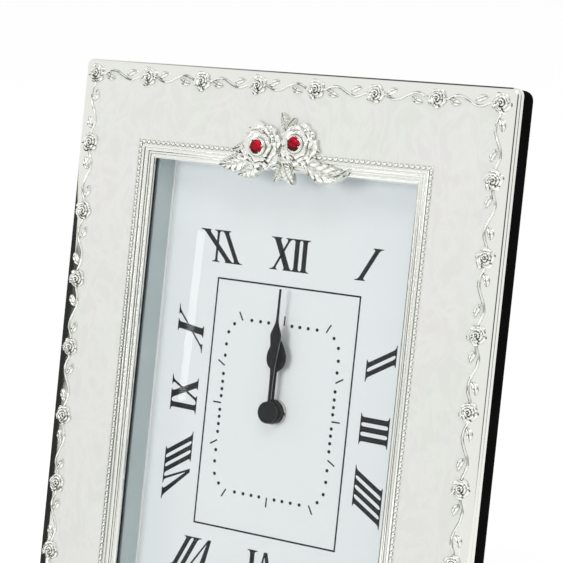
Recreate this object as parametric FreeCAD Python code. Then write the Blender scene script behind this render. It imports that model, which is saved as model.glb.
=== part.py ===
import FreeCAD, Part
import math
import os

# Photo frame clock: a silvered frame with a pearl enamel band, a quartz clock behind glass and an easel leg.
# Every piece is drawn upright: x to the right, y from the rim's front plane to the back, z up from the
# dial's centre. At the end the whole clock leans back about x and stands on its back edge and its leg.
# Faces nearer to each other than the length named touch count as one.

# Whole clock, millimetres and degrees
frame_width = 150.0
frame_height = 202.0
lean_deg = 10.67
cut_overrun = 1.0
touch = 0.001
running_gap = 0.05
face_gap = 0.1
sheet_gap = 0.5

# Front frame: rim, sunk enamel bed, bead ridge, reeded moulding and sight edge
shell_depth = 3.95
shell_wall = 0.8
shell_corner_radius = 2.2
plate_depth = 2.0
edge_bevel = 0.45
rim_line_inset = 1.3
rim_line_width = 0.3
rim_line_depth = 0.15
rim_width = 4.5
band_width = 24.2
enamel_thickness = 0.6
bead_width = 1.3
bead_height = 0.5
moulding_width = 4.7
reed_count = 2
reed_height = 0.35
lip_width = 1.3
lip_edge = 0.5

# Vine on the rim: stems, leaves and small roses
rose_inset = 4.5
rose_radius = 3.1
rose_tier_height = 0.75
rose_tier_share = 0.66
rose_notch_share = 0.8
rose_petals = 5
outer_petal_points = 3
inner_petal_points = 2
roses_across = 8
roses_up = 10
stem_width = 0.75
stem_height = 0.7
stem_wave = 1.2
vine_leaf_length = 3.3
vine_leaf_width = 1.7
vine_leaf_height = 0.7
vine_leaf_slant_deg = 35.0

# Ornament at the top of the sight opening: two roses with stones, among leaves
ornament_span = 44.0
left_rose_radius = 7.1
right_rose_radius = 6.3
left_rose_place_shares = (-0.145, 0.034)
right_rose_place_shares = (0.139, 0.073)
petal_tier_height = 1.0
petal_tiers = 3
petal_tier_share = 0.72
large_petal_points = 6
collet_radius = 2.75
collet_height = 0.5
stone_radius = 2.15
stone_crown = 0.8
stone_pavilion = 0.4
stone_table_share = 0.55
stone_sides = 8
ornament_leaf_height = 1.3
# Each leaf: foot x, foot z, tip x and tip z as shares of the ornament's span, and width over length
ornament_leaf_shares = (
    (-0.20, -0.03, -0.466, -0.10, 0.42),
    (-0.16, -0.06, -0.355, -0.165, 0.45),
    (-0.22, 0.03, -0.36, 0.03, 0.50),
    (-0.06, -0.08, -0.075, -0.18, 0.55),
    (-0.02, 0.13, 0.03, 0.275, 0.52),
    (0.05, -0.02, 0.055, -0.17, 0.45),
    (0.20, 0.03, 0.526, -0.105, 0.26),
    (0.18, -0.03, 0.357, -0.175, 0.45),
    (0.22, 0.09, 0.37, 0.07, 0.45),
)
leaf_belly_share = 0.42

# Glass, spacer, dial and case body
glass_lap_x = 4.9
glass_lap_z = 3.9
rebate_gap = 0.5
glass_thickness = 2.0
spacer_depth = 8.2
spacer_wall_x = 5.4
spacer_wall_z = 3.7
dial_thickness = 1.2
body_inset = 0.2
body_depth = 13.4
body_corner_radius = 5.0
body_edge_radius = 4.0

# Back board and the turn buttons that hold it
board_lap = 7.5
board_thickness = 4.0
board_corner_radius = 3.0
button_gap = 6.0
button_spacing = 90.0
button_foot_radius = 4.2
button_arm_reach = 10.0
button_arm_width = 5.0
button_thickness = 0.8
button_bore_radius = 1.55
screw_shank_radius = 1.5
screw_head_radius = 2.9
screw_head_height = 1.0
screw_length = 8.0
slot_width = 0.6
slot_depth = 0.5

# Easel leg and its hinge
hinge_below_movement = 13.0
hinge_barrel_radius = 1.7
hinge_pin_radius = 0.8
hinge_width = 24.0
hinge_knuckle_width = 7.0
hinge_leaf_thickness = 0.8
hinge_plate_height = 9.0
hinge_leaf_height = 16.0
hinge_stop_height = 4.5
leg_open_deg = 27.0
leg_thickness = 2.5
leg_top_width = 26.0
leg_foot_width = 42.0
leg_top_gap = 2.5
rivet_radius = 1.2
rivet_head_radius = 2.2
rivet_head_height = 0.7
rivet_inset = 5.0

# Movement: outer case
gasket_thickness = 0.6
gasket_radius = 8.0
movement_depth = 16.0
movement_corner_radius = 3.0
movement_wall = 1.2
movement_split = 12.0
bay_gap = 0.2
bay_wall = 1.0
bush_radius = 3.2
bush_length = 3.3
dial_hole_gap = 0.1
nut_radius = 3.9
nut_thickness = 1.3
nut_slot_width = 0.9
post_radius = 1.8
post_inset = 4.8
post_drop = 3.8
post_rise = 5.2
case_screw_radius = 0.7
case_screw_head_radius = 1.7
case_screw_head_height = 0.8
case_screw_bite = 2.0

# Movement: arbors
arbor_radius = 1.4
hour_pipe_radius = 2.2
motion_arbor_radius = 0.8
train_arbor_radius = 0.4
pivot_depth = 0.8
boss_radius = 1.2

# Movement: teeth, as shares of the module and of the angle from tooth to tooth
addendum_share = 0.9
dedendum_share = 1.25
wheel_root_share = 0.25
wheel_tip_share = 0.10
pinion_root_share = 0.17
pinion_tip_share = 0.08

# Movement: wheel counts, and the distances and directions between arbors
cannon_teeth = 8
motion_teeth = 24
motion_pinion_teeth = 8
hour_teeth = 32
centre_teeth = 48
third_pinion_teeth = 6
third_teeth = 45
seconds_pinion_teeth = 6
seconds_teeth = 36
intermediate_pinion_teeth = 6
intermediate_teeth = 30
rotor_teeth = 6
motion_distance = 8.4
motion_direction_deg = 40.0
third_distance = 7.8
third_direction_deg = 170.0
intermediate_distance = 7.98
intermediate_direction_deg = 100.0
rotor_distance = 5.4
rotor_direction_deg = 75.0

# Movement: layers from the front wall backwards
wheel_thickness = 0.8
fine_wheel_thickness = 0.6
layer_gap = 0.6
wall_gap = 0.4
mid_plate_thickness = 1.2
clutch_thickness = 0.2
clutch_radius = 2.6

# Movement: motor, circuit and battery
magnet_radius = 2.0
magnet_thickness = 1.6
rotor_air_gap = 0.5
stator_thickness = 1.0
stator_width = 24.0
stator_web = 0.9
stator_leg_width = 3.2
coil_drop = 5.3
core_thickness = 1.0
core_height = 3.0
bobbin_length = 17.0
bobbin_wall = 0.3
flange_thickness = 0.6
flange_size = 4.6
winding_radius = 2.15
circuit_depth = 7.0
circuit_thickness = 1.0
circuit_front = 20.0
crystal_can_radius = 1.0
crystal_can_length = 6.0
crystal_can_place_share = 0.3
battery_radius = 7.1
battery_length = 49.5
battery_nub_radius = 2.75
battery_nub_length = 1.0
battery_floor_gap = 0.3
contact_thickness = 0.4
contact_spring_room = 1.1
contact_wall_gap = 0.6
contact_width = 9.0

# Set knob behind the movement
knob_radius = 6.0
knob_height = 2.6
knob_gap = 0.3
knob_flutes = 18
knob_flute_share = 0.93

# Hands, one above the other in front of the dial
hand_thickness = 0.3
minute_hand_length = 37.0
minute_hub_radius = 3.3
minute_hub_height = 1.3
minute_hub_above_dial = 4.9
hour_hand_length = 24.8
hour_boss_radius = 3.5
hour_boss_height = 0.95
hand_boss_gap = 0.75
hand_hub_gap = 0.2
# Half widths along each hand: distance from the centre and half width, as shares of the hand's length
minute_outline_shares = (
    (0.06, 0.0150), (0.235, 0.0155), (0.33, 0.0195), (0.41, 0.0257), (0.47, 0.0325), (0.53, 0.0405),
    (0.59, 0.0485), (0.627, 0.0525), (0.67, 0.0370), (0.715, 0.0205), (0.77, 0.0120), (1.0, 0.0100),
)
hour_outline_shares = (
    (0.10, 0.028), (0.53, 0.030), (0.661, 0.138), (0.734, 0.125), (0.798, 0.109), (0.863, 0.085),
    (0.935, 0.042), (1.0, 0.004),
)
hour_spade_place_share = 0.661
hour_spade_share = 0.1383


def vec(x, y, z):
    """A point or direction in the upright frame."""
    return FreeCAD.Vector(x, y, z)


def rounded_slab(width, height, radius, front, back, x=0, z=0):
    """A plate in the dial's plane with round corners, from one depth to another."""
    if radius <= 0:
        return Part.makeBox(width, back - front, height, vec(x - width / 2, front, z - height / 2))
    edges = []
    corners = ((1, 1, 0), (-1, 1, 90), (-1, -1, 180), (1, -1, 270))
    ends = []
    for side_x, side_z, start in corners:
        centre_x = x + side_x * (width / 2 - radius)
        centre_z = z + side_z * (height / 2 - radius)
        arc = []
        for angle in (start, start + 45, start + 90):
            turn = math.radians(angle)
            arc.append(vec(centre_x + radius * math.cos(turn), front, centre_z + radius * math.sin(turn)))
        ends.append(arc)
    for index, arc in enumerate(ends):
        edges.append(Part.Arc(arc[0], arc[1], arc[2]).toShape())
        edges.append(Part.LineSegment(arc[2], ends[(index + 1) % len(ends)][0]).toShape())
    return Part.Face(Part.Wire(edges)).extrude(vec(0, back - front, 0))


def disc(radius, front, back, x=0, z=0):
    """A round plate or arbor along y."""
    return Part.makeCylinder(radius, back - front, vec(x, front, z), vec(0, 1, 0))


def collar(outer, inner, front, back, x=0, z=0):
    """A round ring along y."""
    return disc(outer, front, back, x, z).cut(disc(inner, front - cut_overrun, back + cut_overrun, x, z))


def plate_from(points, front, back):
    """A flat piece with straight sides, from (x, z) points."""
    corners = [vec(x, front, z) for x, z in points]
    wire = Part.makePolygon(corners + corners[:1])
    return Part.Face(wire).extrude(vec(0, back - front, 0))


def closed_solid(faces):
    """A solid from flat faces that close."""
    solid = Part.Solid(Part.Shell(faces))
    if solid.Volume < 0:
        solid.reverse()
    return solid


def flat_face(points):
    """A flat face through points that lie in one plane."""
    return Part.Face(Part.makePolygon(list(points) + [points[0]]))


def frustum(points, centre, share, back, front):
    """A piece whose outline shrinks towards a centre as it rises from its back to its front."""
    centre_x, centre_z = centre
    low = [vec(x, back, z) for x, z in points]
    high = [vec(centre_x + (x - centre_x) * share, front, centre_z + (z - centre_z) * share)
            for x, z in points]
    faces = [flat_face(low), flat_face(high)]
    for index in range(len(points)):
        following = (index + 1) % len(points)
        faces.append(flat_face([low[index], low[following], high[following], high[index]]))
    return closed_solid(faces)


def peak(points, apex):
    """A pyramid on an outline."""
    faces = [flat_face(points)]
    for index in range(len(points)):
        faces.append(flat_face([points[index], points[(index + 1) % len(points)], apex]))
    return closed_solid(faces)


def mitred_ring(profile):
    """A frame moulding: (inset, depth) points run round the outer rectangle with mitred corners."""
    rings = []
    for inset, depth in profile:
        half_w = frame_width / 2 - inset
        half_h = frame_height / 2 - inset
        rings.append([vec(side_x * half_w, depth, side_z * half_h)
                      for side_x, side_z in ((1, 1), (-1, 1), (-1, -1), (1, -1))])
    faces = []
    for index, ring in enumerate(rings):
        following = rings[(index + 1) % len(rings)]
        for side in range(4):
            after = (side + 1) % 4
            faces.append(flat_face([ring[side], ring[after], following[after], following[side]]))
    return closed_solid(faces)


def group(shapes):
    """Separate solids kept in one node."""
    return Part.makeCompound(shapes)


# Places that more than one piece uses
half_height = frame_height / 2
sight_inset = band_width + moulding_width
photo_width = frame_width - 2 * sight_inset + 2 * glass_lap_x
photo_height = frame_height - 2 * sight_inset + 2 * glass_lap_z
glass_front = plate_depth
glass_back = glass_front + glass_thickness
dial_front = glass_back + spacer_depth
dial_back = dial_front + dial_thickness
opening_width = photo_width + 2 * rebate_gap
opening_height = photo_height + 2 * rebate_gap
board_width = opening_width + 2 * board_lap
board_height = opening_height + 2 * board_lap
board_front = body_depth
board_back = board_front + board_thickness
button_offset = board_width / 2 + button_gap
movement_front = dial_back + gasket_thickness
movement_back = movement_front + movement_depth
split_depth = movement_front + movement_split
inner_front = movement_front + movement_wall
inner_back = movement_back - movement_wall
circuit_width = battery_length + battery_nub_length + contact_spring_room
inner_half = circuit_width / 2 + contact_thickness + contact_wall_gap
movement_width = 2 * (inner_half + movement_wall)
bay_height = 2 * (battery_radius + bay_gap)
bay_low = -inner_half
bay_top = bay_low + bay_height
train_low = bay_top + bay_wall
post_x = inner_half - post_inset
post_low = train_low + post_rise
post_high = inner_half - post_drop
coil_height = inner_half - coil_drop

# Layers of the train
hour_layer = inner_front + wall_gap
motion_layer = hour_layer + wheel_thickness + layer_gap
mid_front = motion_layer + wheel_thickness + wall_gap
mid_back = mid_front + mid_plate_thickness
centre_layer = mid_back + wall_gap
third_layer = centre_layer + wheel_thickness + wall_gap
seconds_layer = third_layer + fine_wheel_thickness + layer_gap
intermediate_layer = seconds_layer + fine_wheel_thickness + layer_gap
magnet_front = intermediate_layer + fine_wheel_thickness + layer_gap
magnet_back = magnet_front + magnet_thickness

# Places of the hands
minute_hub_front = dial_front - minute_hub_above_dial
minute_hub_back = minute_hub_front + minute_hub_height
hour_boss_front = minute_hub_back + hand_boss_gap
hour_boss_back = hour_boss_front + hour_boss_height
bush_front = movement_front - bush_length

# Where the hinge pin and the rivets beside its middle knuckle are
pin_depth = board_back + hinge_barrel_radius + face_gap
pin_z = -movement_width / 2 - hinge_below_movement
rivet_x = hinge_width / 2 - rivet_inset


def toward(x, z, distance, direction_deg):
    """The point at a distance and direction from another, in the dial's plane."""
    turn = math.radians(direction_deg)
    return x + distance * math.cos(turn), z + distance * math.sin(turn)


motion_place = toward(0, 0, motion_distance, motion_direction_deg)
third_place = toward(0, 0, third_distance, third_direction_deg)
intermediate_place = toward(0, 0, intermediate_distance, intermediate_direction_deg)
rotor_place = toward(intermediate_place[0], intermediate_place[1], rotor_distance, rotor_direction_deg)


def module_for(distance, teeth_a, teeth_b):
    """The module that puts two wheels at a distance."""
    return 2 * distance / (teeth_a + teeth_b)


def mesh_turn(turn, teeth, other_teeth, direction_deg):
    """The turn of a wheel in mesh with another that has a given turn and lies in the direction behind it."""
    direction = math.radians(direction_deg)
    return direction + math.pi - (turn - direction) * teeth / other_teeth - math.pi / other_teeth


def toothed(teeth, module, place, turn, front, back, bore, root_share, tip_share):
    """A wheel with straight-sided teeth and a round bore."""
    pitch = 2 * math.pi / teeth
    pitch_radius = module * teeth / 2
    root = pitch_radius - dedendum_share * module
    tip = pitch_radius + addendum_share * module
    points = []
    for index in range(teeth):
        middle = turn + index * pitch
        for radius, share in ((root, -root_share), (tip, -tip_share), (tip, tip_share), (root, root_share)):
            angle = middle + share * pitch
            points.append((place[0] + radius * math.cos(angle), place[1] + radius * math.sin(angle)))
    wheel = plate_from(points, front, back)
    if bore > 0:
        wheel = wheel.cut(disc(bore, front - cut_overrun, back + cut_overrun, place[0], place[1]))
    return wheel


def wheel_teeth(teeth, module, place, turn, front, back, bore):
    """A large wheel."""
    return toothed(teeth, module, place, turn, front, back, bore, wheel_root_share, wheel_tip_share)


def pinion_teeth(teeth, module, place, turn, front, back, bore):
    """A small driving wheel, whose teeth are slimmer."""
    return toothed(teeth, module, place, turn, front, back, bore, pinion_root_share, pinion_tip_share)


def moulding_profile():
    """Section of the front frame: inset from the outer edge and depth behind the rim's front plane."""
    profile = [(0, shell_depth), (0, edge_bevel), (edge_bevel, 0), (rim_line_inset, 0)]
    line_end = rim_line_inset + rim_line_width
    profile += [(rim_line_inset, rim_line_depth), (line_end, rim_line_depth), (line_end, 0)]
    bead_start = band_width - bead_width / 2
    bead_end = band_width + bead_width / 2
    profile += [(rim_width, 0), (rim_width, enamel_thickness)]
    profile += [(bead_start, enamel_thickness), (bead_start, 0)]
    profile += [(band_width - bead_width / 4, -bead_height), (band_width + bead_width / 4, -bead_height)]
    profile += [(bead_end, 0)]
    reeds_end = sight_inset - lip_width
    reed_width = (reeds_end - bead_end) / reed_count
    drop = (plate_depth - lip_edge - reed_height) / (reed_count + 1)
    for index in range(reed_count):
        start = bead_end + index * reed_width
        level = index * drop
        profile.append((start + reed_width / 4, level - reed_height))
        profile.append((start + reed_width * 3 / 4, level - reed_height + drop / 2))
        profile.append((start + reed_width, level + drop))
    profile += [(reeds_end + lip_width / 4, reed_count * drop - reed_height)]
    profile += [(sight_inset, plate_depth - lip_edge), (sight_inset, plate_depth)]
    profile += [(shell_wall, plate_depth), (shell_wall, shell_depth)]
    return profile


def front_frame():
    """The silvered casting that faces the clock and wraps round its sides."""
    blank = rounded_slab(frame_width, frame_height, shell_corner_radius, -bead_height - cut_overrun,
                         shell_depth)
    return mitred_ring(moulding_profile()).common(blank)


def enamel_panel():
    """The pearl enamel that fills the bed between the rim and the bead ridge, level with the rim."""
    inner_inset = band_width - bead_width / 2
    outer = rounded_slab(frame_width - 2 * rim_width, frame_height - 2 * rim_width, 0, 0, enamel_thickness)
    inner = rounded_slab(frame_width - 2 * inner_inset, frame_height - 2 * inner_inset, 0,
                         -cut_overrun, enamel_thickness + cut_overrun)
    return outer.cut(inner)


def petal_outline(radius, place, petals, points_per_petal, turn):
    """A ring of round petals, as points."""
    points = []
    total = petals * points_per_petal
    for index in range(total):
        angle = 2 * math.pi * index / total
        swell = abs(math.sin(petals * angle / 2)) ** 0.5
        reach = radius * (rose_notch_share + (1 - rose_notch_share) * swell)
        points.append((place[0] + reach * math.cos(angle + turn), place[1] + reach * math.sin(angle + turn)))
    return points


def rose_places():
    """Centres of the small roses, in order round the rim, with the direction to the next one."""
    across = frame_width - 2 * rose_inset
    up = frame_height - 2 * rose_inset
    step_x = across / (roses_across - 1)
    step_z = up / (roses_up - 1)
    places = []
    for index in range(roses_across - 1):
        places.append((-across / 2 + index * step_x, up / 2, 0, step_x))
    for index in range(roses_up - 1):
        places.append((across / 2, up / 2 - index * step_z, -90, step_z))
    for index in range(roses_across - 1):
        places.append((across / 2 - index * step_x, -up / 2, 180, step_x))
    for index in range(roses_up - 1):
        places.append((-across / 2, -up / 2 + index * step_z, 90, step_z))
    return places


def border_roses():
    """The small roses: two rings of petals and a bud, raised on the rim."""
    roses = []
    for index, (x, z, heading, step) in enumerate(rose_places()):
        turn = math.radians(heading) + index
        outer_ring = petal_outline(rose_radius, (x, z), rose_petals, outer_petal_points, turn)
        outer = frustum(outer_ring, (x, z), rose_tier_share + rose_tier_share / 4, 0, -rose_tier_height)
        inner_turn = turn + math.pi / rose_petals
        inner_ring = petal_outline(rose_radius * rose_tier_share, (x, z), rose_petals, inner_petal_points,
                                   inner_turn)
        inner = frustum(inner_ring, (x, z), rose_tier_share, -rose_tier_height, -2 * rose_tier_height)
        roses.append(outer.fuse(inner))
    return group(roses)


def wave_side(start, half_run, swing, offset):
    """Points of a stem's edge: two arcs that swing to either side, at an offset from the middle line."""
    slope = 2 * math.atan(2 * swing / half_run)
    shift = offset * math.sin(slope)
    level = offset * math.cos(slope)
    return (vec(start - shift, 0, level), vec(start + half_run / 2, 0, swing + offset),
            vec(start + half_run + shift, 0, level), vec(start + half_run * 3 / 2, 0, offset - swing),
            vec(start + 2 * half_run - shift, 0, level))


def stem_span(step, side):
    """One stem between two roses, drawn from the first rose along x."""
    start = rose_radius + face_gap
    half_run = (step - 2 * start) / 2
    upper = wave_side(start, half_run, side * stem_wave, stem_width / 2)
    lower = wave_side(start, half_run, side * stem_wave, -stem_width / 2)
    curves = [Part.Arc(upper[0], upper[1], upper[2]), Part.Arc(upper[2], upper[3], upper[4]),
              Part.LineSegment(upper[4], lower[4]), Part.Arc(lower[4], lower[3], lower[2]),
              Part.Arc(lower[2], lower[1], lower[0]), Part.LineSegment(lower[0], upper[0])]
    outline = Part.Wire([curve.toShape() for curve in curves])
    return Part.Face(outline).extrude(vec(0, -stem_height, 0))


def leaf_solid(foot, tip, width, height, back):
    """A leaf with a raised rib, from its foot to its tip."""
    run_x = tip[0] - foot[0]
    run_z = tip[1] - foot[1]
    length = math.hypot(run_x, run_z)
    across_x = -run_z / length * width / 2
    across_z = run_x / length * width / 2
    belly_x = foot[0] + run_x * leaf_belly_share
    belly_z = foot[1] + run_z * leaf_belly_share
    outline = [vec(foot[0], back, foot[1]), vec(belly_x + across_x, back, belly_z + across_z),
               vec(tip[0], back, tip[1]), vec(belly_x - across_x, back, belly_z - across_z)]
    return peak(outline, vec(belly_x, back - height, belly_z))


def laid_along(shape, x, z, heading):
    """Turn a shape drawn along x to a heading in the dial's plane, and set it at a place."""
    turned = shape.copy()
    turned.Placement = FreeCAD.Placement(vec(x, 0, z), FreeCAD.Rotation(vec(0, -1, 0), heading))
    return turned


def vine():
    """The stems and the leaves between the small roses."""
    stems = []
    leaves = []
    for index, (x, z, heading, step) in enumerate(rose_places()):
        side = 1 if index % 2 == 0 else -1
        stems.append(laid_along(stem_span(step, side), x, z, heading))
        start = rose_radius + face_gap
        half_run = (step - 2 * start) / 2
        for bend in range(2):
            swing = side * (1 if bend == 0 else -1)
            crest_x = start + half_run * (bend + 1 / 2)
            crest_z = swing * (stem_wave + stem_width / 2)
            slant = math.radians(vine_leaf_slant_deg) * swing
            foot = (crest_x, crest_z)
            tip = (crest_x + vine_leaf_length * math.cos(slant), crest_z + vine_leaf_length * math.sin(slant))
            leaf = leaf_solid(foot, tip, vine_leaf_width, vine_leaf_height, 0)
            leaves.append(laid_along(leaf, x, z, heading))
    return group(stems), group(leaves)


def ornament_place(shares):
    """A place on the ornament, from shares of its span about the middle of the top bead line."""
    return shares[0] * ornament_span, half_height - band_width + shares[1] * ornament_span


def ornament_rose(radius, place):
    """A large rose: three rings of petals and a collet for the stone."""
    back = -bead_height
    rose = None
    ring_radius = radius
    for tier in range(petal_tiers):
        turn = tier * math.pi / rose_petals
        outline = petal_outline(ring_radius, place, rose_petals, large_petal_points, turn)
        ring = frustum(outline, place, (1 + petal_tier_share) / 2, back, back - petal_tier_height)
        rose = ring if rose is None else rose.fuse(ring)
        ring_radius = ring_radius * petal_tier_share
        back = back - petal_tier_height
    rose = rose.fuse(disc(collet_radius, back - collet_height, back, place[0], place[1]))
    seat = disc(stone_radius, back - collet_height - cut_overrun, back - collet_height + stone_pavilion,
                place[0], place[1])
    return rose.cut(seat), back - collet_height


def stone(place, girdle):
    """A round-cut stone with flat facets, its girdle in the collet."""
    points = []
    for index in range(stone_sides):
        angle = 2 * math.pi * index / stone_sides
        points.append((place[0] + stone_radius * math.cos(angle), place[1] + stone_radius * math.sin(angle)))
    crown = frustum(points, place, stone_table_share, girdle, girdle - stone_crown)
    pavilion = frustum(points, place, stone_table_share, girdle, girdle + stone_pavilion)
    return crown.fuse(pavilion)


def ornament():
    """The roses, their leaves and the two stones."""
    roses = []
    stones = []
    for radius, shares in ((left_rose_radius, left_rose_place_shares),
                           (right_rose_radius, right_rose_place_shares)):
        place = ornament_place(shares)
        rose, girdle = ornament_rose(radius, place)
        roses.append(rose)
        stones.append(stone(place, girdle))
    roses[1] = roses[1].cut(roses[0])
    leaves = None
    for foot_x, foot_z, tip_x, tip_z, slimness in ornament_leaf_shares:
        foot = ornament_place((foot_x, foot_z))
        tip = ornament_place((tip_x, tip_z))
        length = math.hypot(tip[0] - foot[0], tip[1] - foot[1])
        leaf = leaf_solid(foot, tip, length * slimness, ornament_leaf_height, -bead_height)
        leaves = leaf if leaves is None else leaves.fuse(leaf)
    for rose in roses:
        leaves = leaves.cut(rose)
    return group(roses), leaves, group(stones)


def case_body():
    """The black-covered body behind the shell, with its round back edges and the opening for the clock."""
    outer = rounded_slab(frame_width - 2 * body_inset, frame_height - 2 * body_inset, body_corner_radius,
                         plate_depth, body_depth)
    back_edges = [edge for edge in outer.Edges if edge.BoundBox.YMin > body_depth - touch]
    outer = outer.makeFillet(body_edge_radius, back_edges)
    # The front part is stepped in so that the shell's side wall closes round it
    wall = rounded_slab(frame_width + cut_overrun, frame_height + cut_overrun, 0, plate_depth, shell_depth)
    core = rounded_slab(frame_width - 2 * shell_wall, frame_height - 2 * shell_wall, body_corner_radius,
                        plate_depth - cut_overrun, shell_depth + cut_overrun)
    body = outer.cut(wall.cut(core))
    opening = rounded_slab(opening_width, opening_height, 0, plate_depth - cut_overrun,
                           body_depth + cut_overrun)
    body = body.cut(opening)
    for x, z in button_places():
        hole = disc(screw_shank_radius, board_front - screw_length, board_front + cut_overrun, x, z)
        body = body.cut(hole)
    return body


def button_places():
    """Centres of the turn buttons' screws: two up each side of the board."""
    return [(side * button_offset, level * button_spacing / 2) for side in (-1, 1) for level in (-1, 1)]


def dial_spacer():
    """The pale liner that holds the glass off the dial and walls the recess in front of it."""
    outer = rounded_slab(photo_width, photo_height, 0, glass_back, dial_front)
    inner = rounded_slab(photo_width - 2 * spacer_wall_x, photo_height - 2 * spacer_wall_z, 0,
                         glass_back - cut_overrun, dial_front + cut_overrun)
    return outer.cut(inner)


def dial_plate():
    """The dial card with its centre hole."""
    plate = rounded_slab(photo_width, photo_height, 0, dial_front, dial_back)
    return plate.cut(disc(bush_radius + dial_hole_gap, dial_front - cut_overrun, dial_back + cut_overrun))


def dial_nut():
    """The slotted round nut that clamps the dial to the movement's bush."""
    front = dial_front - nut_thickness
    nut = collar(nut_radius, bush_radius, front, dial_front)
    slot = rounded_slab(2 * nut_radius + cut_overrun, nut_slot_width, 0, front - cut_overrun,
                        front + nut_thickness / 2)
    return nut.cut(slot)


def rubber_gasket():
    """The washer between the dial and the movement."""
    return collar(gasket_radius, bush_radius + dial_hole_gap, dial_back, movement_front)


def post_places():
    """Centres of the posts that carry the middle plate."""
    return [(side * post_x, level) for side in (-1, 1) for level in (post_low, post_high)]


def movement_front_case():
    """Front shell of the movement: front wall, bush, side walls, battery divider and posts."""
    case = rounded_slab(movement_width, movement_width, movement_corner_radius, movement_front, split_depth)
    train_height = inner_half - train_low
    train_middle = (inner_half + train_low) / 2
    bay_middle = (bay_low + bay_top) / 2
    case = case.cut(rounded_slab(2 * inner_half, train_height, 0, inner_front, split_depth + cut_overrun,
                                 0, train_middle))
    case = case.cut(rounded_slab(2 * inner_half, bay_height, 0, inner_front, split_depth + cut_overrun,
                                 0, bay_middle))
    for side in (-1, 1):
        gate = inner_half - circuit_width / 2
        case = case.cut(rounded_slab(gate, bay_wall + 2 * cut_overrun, 0, inner_front,
                                     split_depth + cut_overrun,
                                     side * (inner_half - gate / 2), (bay_top + train_low) / 2))
    for x, z in post_places():
        case = case.fuse(collar(post_radius, case_screw_radius, inner_front, mid_front, x, z))
    case = case.fuse(disc(bush_radius, bush_front, movement_front))
    case = case.cut(disc(hour_pipe_radius + running_gap, bush_front - cut_overrun, inner_front + cut_overrun))
    pivot_x, pivot_z = motion_place
    return case.cut(disc(motion_arbor_radius + running_gap, inner_front - pivot_depth,
                         inner_front + cut_overrun, pivot_x, pivot_z))


def train_arbors():
    """Place of each train arbor and the depth where the back case's boss for it starts."""
    return (
        ((0, 0), intermediate_layer + fine_wheel_thickness + wall_gap),
        (third_place, seconds_layer + fine_wheel_thickness + wall_gap),
        (intermediate_place, intermediate_layer + fine_wheel_thickness + wall_gap),
        (rotor_place, magnet_back + wall_gap),
    )


def movement_back_case():
    """Back shell of the movement: back wall, side walls, bosses for the arbors and the open battery bay."""
    case = rounded_slab(movement_width, movement_width, movement_corner_radius, split_depth, movement_back)
    train_height = inner_half - train_low
    train_middle = (inner_half + train_low) / 2
    case = case.cut(rounded_slab(2 * inner_half, train_height, 0, split_depth - cut_overrun, inner_back,
                                 0, train_middle))
    case = case.cut(rounded_slab(2 * inner_half, bay_height, 0, split_depth - cut_overrun,
                                 movement_back + cut_overrun, 0, (bay_low + bay_top) / 2))
    for side in (-1, 1):
        gate = inner_half - circuit_width / 2
        case = case.cut(rounded_slab(gate, bay_wall + 2 * cut_overrun, 0, split_depth - cut_overrun,
                                     inner_back, side * (inner_half - gate / 2), (bay_top + train_low) / 2))
    for (x, z), start in train_arbors():
        boss = disc(boss_radius, start, inner_back, x, z)
        case = case.fuse(boss)
        case = case.cut(disc(train_arbor_radius + running_gap, start - cut_overrun, start + pivot_depth,
                             x, z))
    for x, z in post_places():
        case = case.fuse(disc(post_radius, mid_back, inner_back, x, z))
        case = case.cut(disc(case_screw_radius, mid_back - cut_overrun, movement_back + cut_overrun, x, z))
    pivot_x, pivot_z = motion_place
    return case.cut(disc(motion_arbor_radius + running_gap, inner_back - cut_overrun,
                         movement_back + cut_overrun, pivot_x, pivot_z))


def slotted_screw(x, z, head_back, head_height, head_radius, shank_radius, length):
    """A screw driven from the back: head, slot and shank."""
    head_front = head_back - head_height
    shank = disc(shank_radius, head_front - length, head_front, x, z)
    screw = disc(head_radius, head_front, head_back, x, z).fuse(shank)
    slot_front = head_back - min(slot_depth, head_height / 2)
    slot = rounded_slab(2 * head_radius + cut_overrun, slot_width, 0, slot_front, head_back + cut_overrun,
                        x, z)
    return screw.cut(slot)


def case_screws():
    """The four screws that close the movement."""
    length = movement_back - mid_front + case_screw_bite
    return group([slotted_screw(x, z, movement_back + case_screw_head_height, case_screw_head_height,
                                case_screw_head_radius, case_screw_radius, length)
                  for x, z in post_places()])


def mid_plate():
    """The plate between the hands' gearing and the train, which carries the front pivots."""
    low = train_low + circuit_thickness + wall_gap
    high = inner_half - wall_gap
    plate = rounded_slab(2 * (inner_half - wall_gap), high - low, 0, mid_front, mid_back, 0, (low + high) / 2)
    plate = plate.cut(disc(arbor_radius + running_gap, mid_front - cut_overrun, mid_back + cut_overrun))
    pivot_x, pivot_z = motion_place
    plate = plate.cut(disc(motion_arbor_radius + running_gap, mid_front - cut_overrun, mid_back + cut_overrun,
                           pivot_x, pivot_z))
    for x, z in (third_place, intermediate_place, rotor_place):
        plate = plate.cut(disc(train_arbor_radius + running_gap, mid_back - pivot_depth,
                               mid_back + cut_overrun, x, z))
    for x, z in post_places():
        plate = plate.cut(disc(case_screw_radius, mid_front - cut_overrun, mid_back + cut_overrun, x, z))
    return plate


def centre_arbor():
    """The minute hand's arbor with its pinion, from the hand to behind the centre wheel."""
    tip = minute_hub_front + hand_thickness
    tail = third_layer - face_gap
    module = module_for(motion_distance, cannon_teeth, motion_teeth)
    arbor = disc(arbor_radius, tip, tail)
    arbor = arbor.fuse(pinion_teeth(cannon_teeth, module, (0, 0), 0, motion_layer,
                                    motion_layer + wheel_thickness, 0))
    return arbor.cut(disc(train_arbor_radius + running_gap, tail - pivot_depth - face_gap,
                          tail + cut_overrun))


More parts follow.
